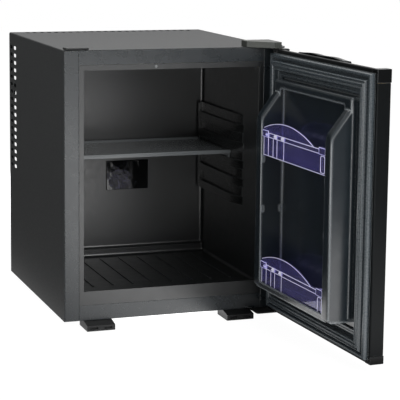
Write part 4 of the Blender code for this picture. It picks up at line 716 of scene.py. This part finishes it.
@dataclass
class Gasket:
    """The magnetic gasket: an extruded profile, mitred at the door's four corners.

    The profile is drawn as (inset, height) points. Its stretches are in millimetres, each from a datum that
    section() gives it.
    """

    workshop: Workshop
    door: DoorFrame
    length: float = 400 * MM
    bottom: float = 2 * MM
    top: float = 484.5 * MM
    outer: float = 7.2 * MM
    inner: float = 37.0 * MM
    fin: float = 47.8 * MM
    base: float = 0.35 * MM
    fin_height: float = 4.6 * MM
    height: float = 14.7 * MM
    sole: tuple[Point2, ...] = ((0.6, 0.0),)
    fin_tip: tuple[Point2, ...] = ((-0.8, 0.0), (0.0, 1.0))
    fin_back: tuple[Point2, ...] = ((-1.4, 0.0), (-4.6, 0.0), (-5.4, -1.5), (-6.2, 0.0), (-9.6, 0.0))
    bulb_foot: tuple[Point2, ...] = ((0.0, 1.6), (-2.8, 3.2))
    bulb_inside: tuple[Point2, ...] = ((-3.4, -8.085), (-2.7, -3.0))
    bulb_outside: tuple[Point2, ...] = ((-18.6, -5.88),)
    groove: tuple[Point2, ...] = ((-19.0, 3.4), (-20.8, 2.6))
    lip: tuple[Point2, ...] = ((7.6, 4.0), (6.8, 8.4), (4.2, 10.0), (1.4, 8.8), (0.0, 5.0))
    crown_reach: Point2 = (3.8 * MM, 17.0 * MM)
    crown_peak: float = 0.35
    crown_drop: float = 0.1 * MM
    crown_fall: float = 1.9 * MM
    ridges: int = 2
    ridge_depth: float = 3.4 * MM
    steps_a_ridge: int = 6
    softenings: int = 1
    smooth_angle: float = 60.0

    def crown(self) -> list[Point2]:
        """Draw the bulb's arched top with its ridges.

        Returns:
            Its points, from the inside outwards.
        """
        start, end = (self.inner - reach for reach in self.crown_reach)
        steps = self.ridges * self.steps_a_ridge
        points = []
        for step in range(steps + 1):
            share = step / steps
            slope = (share - self.crown_peak) / (1 - self.crown_peak)
            dip = self.ridge_depth * (1 - math.cos(math.tau * self.ridges * share)) / 2
            arch = self.height - self.crown_drop - self.crown_fall * slope ** 2
            points.append((start + (end - start) * share, arch - dip))
        return points

    def section(self) -> list[Point2]:
        """Draw the profile: flat sole, inner fin, bulb with its ridges, groove and outer lip.

        Returns:
            The closed outline.
        """
        before = ((self.outer, self.base, self.sole), (self.fin, self.base, self.fin_tip),
                  (self.fin, self.fin_height, self.fin_back), (self.inner, self.base, self.bulb_foot),
                  (self.inner, self.height, self.bulb_inside))
        after = ((self.inner, self.height, self.bulb_outside), (self.inner, self.base, self.groove),
                 (self.outer, self.base, self.lip))
        first, last = ([(inset + x * MM, height + z * MM) for inset, height, stretch in stretches
                        for x, z in stretch] for stretches in (before, after))
        return [*first, *self.crown(), *last]

    def softened(self, outline: list[Point2]) -> list[Point2]:
        """Round every corner of an outline by cutting it at a quarter of each side.

        Args:
            outline: The closed outline.

        Returns:
            An outline with twice as many points.
        """
        result = []
        for index, (x, y) in enumerate(outline):
            next_x, next_y = outline[(index + 1) % len(outline)]
            result.append((x * 0.75 + next_x * 0.25, y * 0.75 + next_y * 0.25))
            result.append((x * 0.25 + next_x * 0.75, y * 0.25 + next_y * 0.75))
        return result

    def build(self) -> None:
        """Carry the profile round the door."""
        outline = self.section()
        for _ in range(self.softenings):
            outline = self.softened(outline)
        shape = bmesh.new()
        rings = []
        for far, up in ((0, 0), (1, 0), (1, 1), (0, 1)):
            ring = []
            for inset, height in outline:
                s = self.length - inset if far else inset
                z = self.top - inset if up else self.bottom + inset
                ring.append(shape.verts.new(self.door.point(s, height, z)))
            rings.append(ring)
        for index, ring in enumerate(rings):
            following = rings[(index + 1) % len(rings)]
            for place in range(len(outline)):
                after = (place + 1) % len(outline)
                shape.faces.new((ring[place], following[place], following[after], ring[after]))
        bmesh.ops.recalc_face_normals(shape, faces=shape.faces)
        item = self.workshop.settle(from_shape("door_gasket_profile", shape), self.smooth_angle)
        self.workshop.place(item, Body.DOOR, "gasket_rubber", GASKET_PVC, ("door_gasket",))


@dataclass
class Door:
    """The insulated door: painted panel and edges, corner caps, liner, gasket and grip."""

    workshop: Workshop
    frame: DoorFrame
    edge_mm: float = 0.5
    cap_edge_mm: float = 0.4
    liner_edge_mm: float = 0.9
    liner_edge_segments: int = 3
    grip_edge_mm: float = 0.3
    grip_rise: float = 3.5 * MM
    grip_dip: float = 0.28
    grip_cuts: int = 24

    def swell(self, item: Piece) -> None:
        """Give the grip its hand-shaped back: two low swellings that run out at its ends.

        Args:
            item: The grip's piece, whose underside stays on the door.
        """
        shape = bmesh.new()
        shape.from_mesh(item.data)
        along = (self.frame.point(1, 0, 0) - self.frame.point(0, 0, 0)).normalized()
        reach = [vert.co.dot(along) for vert in shape.verts]
        start, length = min(reach), max(reach) - min(reach)
        middle = sum((vert.co.z for vert in shape.verts), 0.0) / len(shape.verts)
        for cut in range(1, self.grip_cuts):
            every = [*shape.verts, *shape.edges, *shape.faces]
            place = along * (start + length * cut / self.grip_cuts)
            bmesh.ops.bisect_plane(shape, geom=every, plane_co=place, plane_no=along)
        for vert in shape.verts:
            share = (vert.co.dot(along) - start) / length
            if vert.co.z > middle:
                wave = 1 - self.grip_dip - self.grip_dip * math.cos(2 * math.tau * share)
                vert.co.z += self.grip_rise * math.sin(math.pi * min(max(share, 0.0), 1.0)) * wave
        shape.to_mesh(item.data)
        shape.free()

    def build(self) -> None:
        """Dress the door's pieces."""
        shop = self.workshop
        for node in ("door_edge_top", "door_edge_bottom", "door_edge_hinge", "door_edge_free"):
            shop.edged(node, Body.DOOR, "painted_steel", DOOR_COAT, self.edge_mm)
        for corner in ("top_hinge", "top_free", "bottom_hinge", "bottom_free"):
            shop.edged(f"door_cap_{corner}", Body.DOOR, "painted_steel", GLOSS_ABS, self.cap_edge_mm)
        shop.dress("door_skin", POWDER_COAT)
        self.swell(shop.edged("door_grip", Body.DOOR, "painted_steel", GLOSS_ABS, self.grip_edge_mm))
        shop.dress("door_foam", RIGID_FOAM)
        shop.edged("door_liner", Body.DOOR, "liner_plastic", DOOR_POLYSTYRENE, self.liner_edge_mm,
                   self.liner_edge_segments)
        Gasket(shop, self.frame).build()


@dataclass
class GuardHighlightBeads:
    """Pale glowing beads, painted highlights on a clear guard: its arch, rail, end blocks, foot, ribs, knobs
    and clip.
    """

    workshop: Workshop
    door: DoorFrame
    low: float = 75.3 * MM
    high: float = 324.7 * MM
    face: float = 49 * MM
    rail: Point2 = (36.9 * MM, 44.1 * MM)
    rail_out: float = 1.4 * MM
    block: Point2 = (36.6 * MM, 47.4 * MM)
    block_length: float = 24 * MM
    block_face: float = 51.8 * MM
    block_back: float = 0.4 * MM
    end_inset: float = 1.2 * MM
    crest_start: Point2 = (2 * MM, 51.4 * MM)
    crest_end: Point2 = (200 * MM, 43.9 * MM)
    crest_rise: float = 17.9 * MM
    floor_rise: float = 3.2 * MM
    line_radius: float = 0.6 * MM
    knob_radius: float = 3.6 * MM
    knob_length: float = 9 * MM
    knobs: tuple[float, ...] = (14 * MM, 48 * MM, 78 * MM)
    ribs: tuple[float, ...] = (20 * MM, 40 * MM, 56 * MM, 84 * MM)
    clip: tuple[float, float, float, float] = (4 * MM, 19 * MM, 6 * MM, 34 * MM)
    clip_corner: Point2 = (2 * MM, 3 * MM)
    clip_out: float = 1.6 * MM
    steps: int = 28
    weld: float = 0.001 * MM

    def line(self, points: Sequence[Vector], radius: float) -> bpy.types.Mesh:
        """Make a round bead along points.

        Args:
            points: The bead's path in world coordinates.
            radius: The bead's radius.

        Returns:
            Its closed mesh.
        """
        curve = bpy.data.curves.new("bead", "CURVE")
        curve.dimensions = "3D"
        curve.bevel_depth = radius
        curve.bevel_resolution = 1
        curve.use_fill_caps = True
        spline = curve.splines.new("POLY")
        spline.points.add(len(points) - 1)
        for point, place in zip(spline.points, points):
            point.co = (*place, 1)
        guide = new_object("bead", curve)
        graph = bpy.context.evaluated_depsgraph_get()
        mesh = bpy.data.meshes.new_from_object(guide.evaluated_get(graph))
        bpy.data.objects.remove(guide)
        return mesh

    def arch(self, base: float) -> list[Vector]:
        """Follow the arched top edge of a guard's front.

        Args:
            base: Height of the guard's lowest edge.

        Returns:
            Points along the arch.
        """
        points = []
        for step in range(self.steps + 1):
            share = step / self.steps
            s = self.crest_start[0] + (self.crest_end[0] - self.crest_start[0]) * share
            z = self.crest_start[1] + (self.crest_end[1] - self.crest_start[1]) * share
            bow = self.crest_rise * (1 - (2 * share - 1) ** 2)
            points.append(self.door.point(self.low + s, self.face, base + z + bow))
        return points

    def build(self, name: str, base: float, body: Body) -> None:
        """Draw the beads of one guard as a single piece.

        Args:
            name: The piece's name.
            base: Height of the guard's lowest edge.
            body: The guard's body.
        """
        at = self.door.point
        foot = base + self.floor_rise
        paths = [self.arch(base)]
        for height in self.rail:
            paths.append([at(s, self.face + self.rail_out, base + height)
                          for s in (self.low + self.block_length, self.high - self.block_length)])
        low, high = (base + height for height in self.block)
        for end, way in ((self.low, 1), (self.high, -1)):
            near = end + way * self.end_inset
            far = end + way * self.block_length
            for sides in (((near, low), (near, high)), ((far, low), (far, high)),
                          ((near, low), (far, low)), ((near, high), (far, high))):
                paths.append([at(s, self.block_face - self.block_back, z) for s, z in sides])
            paths.append([at(near, self.face, z) for z in (foot, low)])
        paths.append([at(s, self.face, foot) for s in (self.low, self.high)])
        for rib in self.ribs:
            paths.append([at(self.low + rib, self.face, z) for z in (foot, base + self.rail[0])])
        near, far, low, high = self.clip
        across, up = self.clip_corner
        outline = [(near + across, low), (far - across, low), (far, low + up), (far, high - up),
                   (far - across, high), (near + across, high), (near, high - up), (near, low + up)]
        paths.append([at(self.high - s, self.face + self.clip_out, base + z)
                      for s, z in (*outline, outline[0])])
        beads = [(path, self.line_radius) for path in paths]
        middle = base + sum(self.rail) / 2
        for knob in self.knobs:
            start = self.low + knob
            beads.append(([at(s, self.face, middle) for s in (start, start + self.knob_length)],
                          self.knob_radius))
        shape = bmesh.new()
        for path, radius in beads:
            mesh = self.line(path, radius)
            shape.from_mesh(mesh)
            bpy.data.meshes.remove(mesh)
        bmesh.ops.remove_doubles(shape, verts=shape.verts, dist=self.weld)
        bmesh.ops.recalc_face_normals(shape, faces=shape.faces)
        item = self.workshop.settle(from_shape(name, shape))
        self.workshop.place(item, body, "violet_plastic", VIOLET_HIGHLIGHT_BEAD)


@dataclass
class Fittings:
    """The shelf and the two bottle guards."""

    workshop: Workshop
    frame: DoorFrame
    shelf_edge_mm: float = 0.6
    guard_edge_mm: float = 0.35
    upper_base: float = 301.3 * MM
    lower_base: float = 64.8 * MM

    def build(self) -> None:
        """Dress the loose fittings."""
        shop = self.workshop
        shop.edged("shelf", Body.SHELF, "liner_plastic", SHELF_POLYSTYRENE, self.shelf_edge_mm)
        shop.edged("guard_upper", Body.UPPER_GUARD, "violet_plastic", VIOLET_STYRENE, self.guard_edge_mm)
        shop.edged("guard_lower", Body.LOWER_GUARD, "violet_plastic", VIOLET_STYRENE, self.guard_edge_mm)
        # Pale glowing beads painted as highlights on the two guards.
        edges = GuardHighlightBeads(shop, self.frame)
        edges.build("guard_upper_highlight_beads", self.upper_base, Body.UPPER_GUARD)
        edges.build("guard_lower_highlight_beads", self.lower_base, Body.LOWER_GUARD)


@dataclass(frozen=True)
class Lamp:
    """A soft rectangular studio lamp."""

    name: str
    place: Point
    target: Point
    size: Point2
    power: float

    def build(self) -> None:
        """Hang the lamp and aim it at its target."""
        light = bpy.data.lights.new(self.name, "AREA")
        light.shape = "RECTANGLE"
        light.size, light.size_y = self.size
        light.energy = self.power
        lamp = new_object(self.name, light)
        lamp.location = self.place
        aim = Vector(self.target) - Vector(self.place)
        lamp.rotation_euler = aim.to_track_quat("-Z", "Y").to_euler()


@dataclass
class Studio:
    """The white floor and surroundings, the lamps and the camera.

    A band is the border of a bright zone: its axis, where the brightness starts and where it is full.
    """

    lamps: tuple[Lamp, ...] = (
        Lamp("overhead_softbox", (0.1, 0.9, 2.2), (0.0, 0.1, 0.4), (2.4, 1.6), 27.0),
        Lamp("left_softbox", (-1.9, -1.6, 1.5), (0.0, -0.1, 0.25), (1.6, 1.6), 7.0),
        Lamp("right_softbox", (0.55, -2.6, 1.8), (0.0, 0.0, 0.3), (1.5, 2.0), 42.0),
    )
    ambient: float = 0.24
    mirrored_ambient: float = 0.12
    floor_size: float = 14.0
    floor_drop: float = 0.5 * MM
    floor_colour: str = "f2f2f2"
    floor_glow: float = 0.86
    floor_level: float = 1.13
    mirrored_floor: float = 2.9
    mirrored_glow: float = 0.97
    mirrored_strip: float = 4.5
    mirrored_backdrop: float = 0.75
    dark_side: float = 0.04
    backdrop_bands: tuple[Band, ...] = (("X", -0.25, 0.10), ("Y", 0.10, 0.60))
    floor_bands: tuple[Band, ...] = (("X", -0.30, 0.20), ("X", 0.74, 0.62))
    strip_bands: tuple[Band, ...] = (("X", -1.00, -1.15), ("Y", 0.50, 0.30))
    # Beside and before the door the floor's glossy brightness is cut: a painted shade of the door.
    beside_door: Band = ("X", 0.10, 0.06)
    before_door: Band = ("Y", -0.45, -0.60)
    focal_pixels: float = 1595.0
    sensor_mm: float = 36.0
    shift_y: float = -0.1
    yaw: float = 19.51
    pitch: float = -8.90
    roll: float = 0.63
    eye: Point = (-0.9137, -2.6968, 0.745)

    def joined(self, tree: Tree, operation: str, *levels: Any) -> Socket:
        """Join any number of levels into one, such as their product or the highest of them.

        Args:
            tree: The node tree of the floor or the world.
            operation: How each level joins those before it.
            levels: Values or sockets, two at least.

        Returns:
            The socket of the joined level.
        """
        result = levels[0]
        for level in levels[1:]:
            result = add_node(tree, "ShaderNodeMath", {0: result, 1: level}, operation=operation).outputs[0]
        return result

    def zone(self, tree: Tree, place: Any, *bands: Band) -> list[Socket]:
        """Measure a bright zone at each of its borders, from the dark side's level up to 1.

        Args:
            tree: The node tree of the floor or the world.
            place: The outputs that carry X, Y and Z.
            bands: The zone's borders.

        Returns:
            A socket for each border.
        """
        return [add_node(tree, "ShaderNodeMapRange",
                         {"Value": place[axis], "From Min": start, "From Max": full,
                          "To Min": self.dark_side, "To Max": 1.0}).outputs["Result"]
                for axis, start, full in bands]

    def rays(self, tree: Tree) -> tuple[Socket, Socket]:
        """Tell what is seen as it is from what is seen in a glossy surface.

        Args:
            tree: The node tree of the floor or the world.

        Returns:
            The sockets of what is seen directly or through a clear piece, and of what is mirrored.
        """
        path = add_node(tree, "ShaderNodeLightPath").outputs
        seen = self.joined(tree, "MAXIMUM", path["Is Camera Ray"], path["Is Transmission Ray"])
        return seen, path["Is Glossy Ray"]

    def surroundings(self) -> None:
        """Make the world: white to look at, softer as light, and mirrored white behind on the right only."""
        world = bpy.data.worlds.new("white_studio")
        bpy.context.scene.world = world
        world.use_nodes = True
        tree = world.node_tree
        tree.nodes.clear()
        seen, mirrored = self.rays(tree)
        way = add_node(tree, "ShaderNodeSeparateXYZ",
                       {"Vector": add_node(tree, "ShaderNodeTexCoord").outputs["Generated"]}).outputs
        backdrop = self.joined(tree, "MULTIPLY", *self.zone(tree, way, *self.backdrop_bands),
                               self.mirrored_backdrop)
        reflection = self.joined(tree, "MAXIMUM", backdrop, self.mirrored_ambient)
        light = add_node(tree, "ShaderNodeMix", {"Factor": mirrored, VALUE_A: self.ambient,
                                                 VALUE_B: reflection}).outputs[VALUE_MIXED]
        level = self.joined(tree, "MAXIMUM", light, seen)
        shine = add_node(tree, "ShaderNodeBackground", {"Color": (1, 1, 1, 1), "Strength": level})
        add_node(tree, "ShaderNodeOutputWorld", {"Surface": shine.outputs[0]})

    def floor(self) -> None:
        """Lay the floor: pale with a soft shadow, and bright in glossy finishes where the room is bright."""
        half = self.floor_size / 2
        mesh = bpy.data.meshes.new("studio_floor")
        mesh.from_pydata([(-half, -half, 0), (half, -half, 0), (half, half, 0), (-half, half, 0)], [],
                         [(0, 1, 2, 3)])
        item = new_object("studio_floor", mesh)
        item.location.z = -self.floor_drop
        material = bpy.data.materials.new("seamless_paper")
        material.use_nodes = True
        tree = material.node_tree
        tree.nodes.clear()
        seen, mirrored = self.rays(tree)
        spot = add_node(tree, "ShaderNodeSeparateXYZ",
                        {"Vector": add_node(tree, "ShaderNodeNewGeometry").outputs["Position"]}).outputs
        # A painted shade of the door, in what glossy finishes mirror of the floor.
        painted_door_shade = self.joined(tree, "MAXIMUM", *self.zone(tree, spot, self.beside_door, self.before_door))
        front = self.joined(tree, "MULTIPLY", *self.zone(tree, spot, *self.floor_bands), self.mirrored_floor,
                            painted_door_shade)
        strip = self.joined(tree, "MULTIPLY", *self.zone(tree, spot, *self.strip_bands), self.mirrored_strip)
        level = self.joined(tree, "MULTIPLY", self.joined(tree, "MAXIMUM", seen, front, strip),
                            self.floor_level)
        paper = add_node(tree, "ShaderNodeBsdfDiffuse", {"Color": linear(self.floor_colour)})
        glow = add_node(tree, "ShaderNodeEmission", {"Color": (1, 1, 1, 1), "Strength": level})
        share = self.joined(tree, "MAXIMUM", self.joined(tree, "MULTIPLY", seen, self.floor_glow),
                            self.joined(tree, "MULTIPLY", mirrored, self.mirrored_glow))
        mixed = add_node(tree, "ShaderNodeMixShader", {0: share, 1: paper.outputs[0], 2: glow.outputs[0]})
        add_node(tree, "ShaderNodeOutputMaterial", {"Surface": mixed.outputs[0]})
        mesh.materials.append(material)

    def camera(self) -> None:
        """Set the camera at the photograph's place and angle."""
        yaw, pitch, roll = (math.radians(value) for value in (self.yaw, self.pitch, self.roll))
        forward = Vector((math.sin(yaw) * math.cos(pitch), math.cos(yaw) * math.cos(pitch), math.sin(pitch)))
        level_right = Vector((math.cos(yaw), -math.sin(yaw), 0))
        level_up = level_right.cross(forward)
        right = level_right * math.cos(roll) + level_up * math.sin(roll)
        up = right.cross(forward)
        data = bpy.data.cameras.new("photo_camera")
        data.sensor_width = self.sensor_mm
        data.lens = self.focal_pixels / PHOTO_PIXELS * self.sensor_mm
        data.shift_y = self.shift_y
        data.dof.use_dof = False
        item = new_object("photo_camera", data)
        turn = Matrix((right, up, -forward)).transposed()
        item.matrix_world = Matrix.Translation(self.eye) @ turn.to_4x4()
        bpy.context.scene.camera = item

    def build(self) -> None:
        """Set up the whole studio."""
        self.camera()
        self.surroundings()
        self.floor()
        for lamp in self.lamps:
            lamp.build()
        bpy.context.scene.view_settings.view_transform = "Standard"


def main() -> None:
    """Build the fridge's looks round its frame."""
    logging.basicConfig(level=logging.INFO, format="%(message)s")
    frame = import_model()
    Studio().build()
    workshop = Workshop(frame)
    hinge = next(joint for joint in frame["joints"] if joint["name"] == "door_hinge")
    door_frame = DoorFrame(Vector(hinge["pos_m"]), math.radians(-hinge["range_deg"][0]))
    cabinet = Cabinet(workshop)
    hinges = Hinges(workshop)
    fasteners = Fasteners(workshop)
    fittings = Fittings(workshop, door_frame)
    for assembly in (cabinet, hinges, CoolingUnit(workshop), Door(workshop, door_frame), fittings):
        assembly.build()
        LOG.info("%s is built", type(assembly).__name__)
    for assembly in (cabinet, hinges):
        assembly.screws(fasteners)


if __name__ == "__main__":
    main()
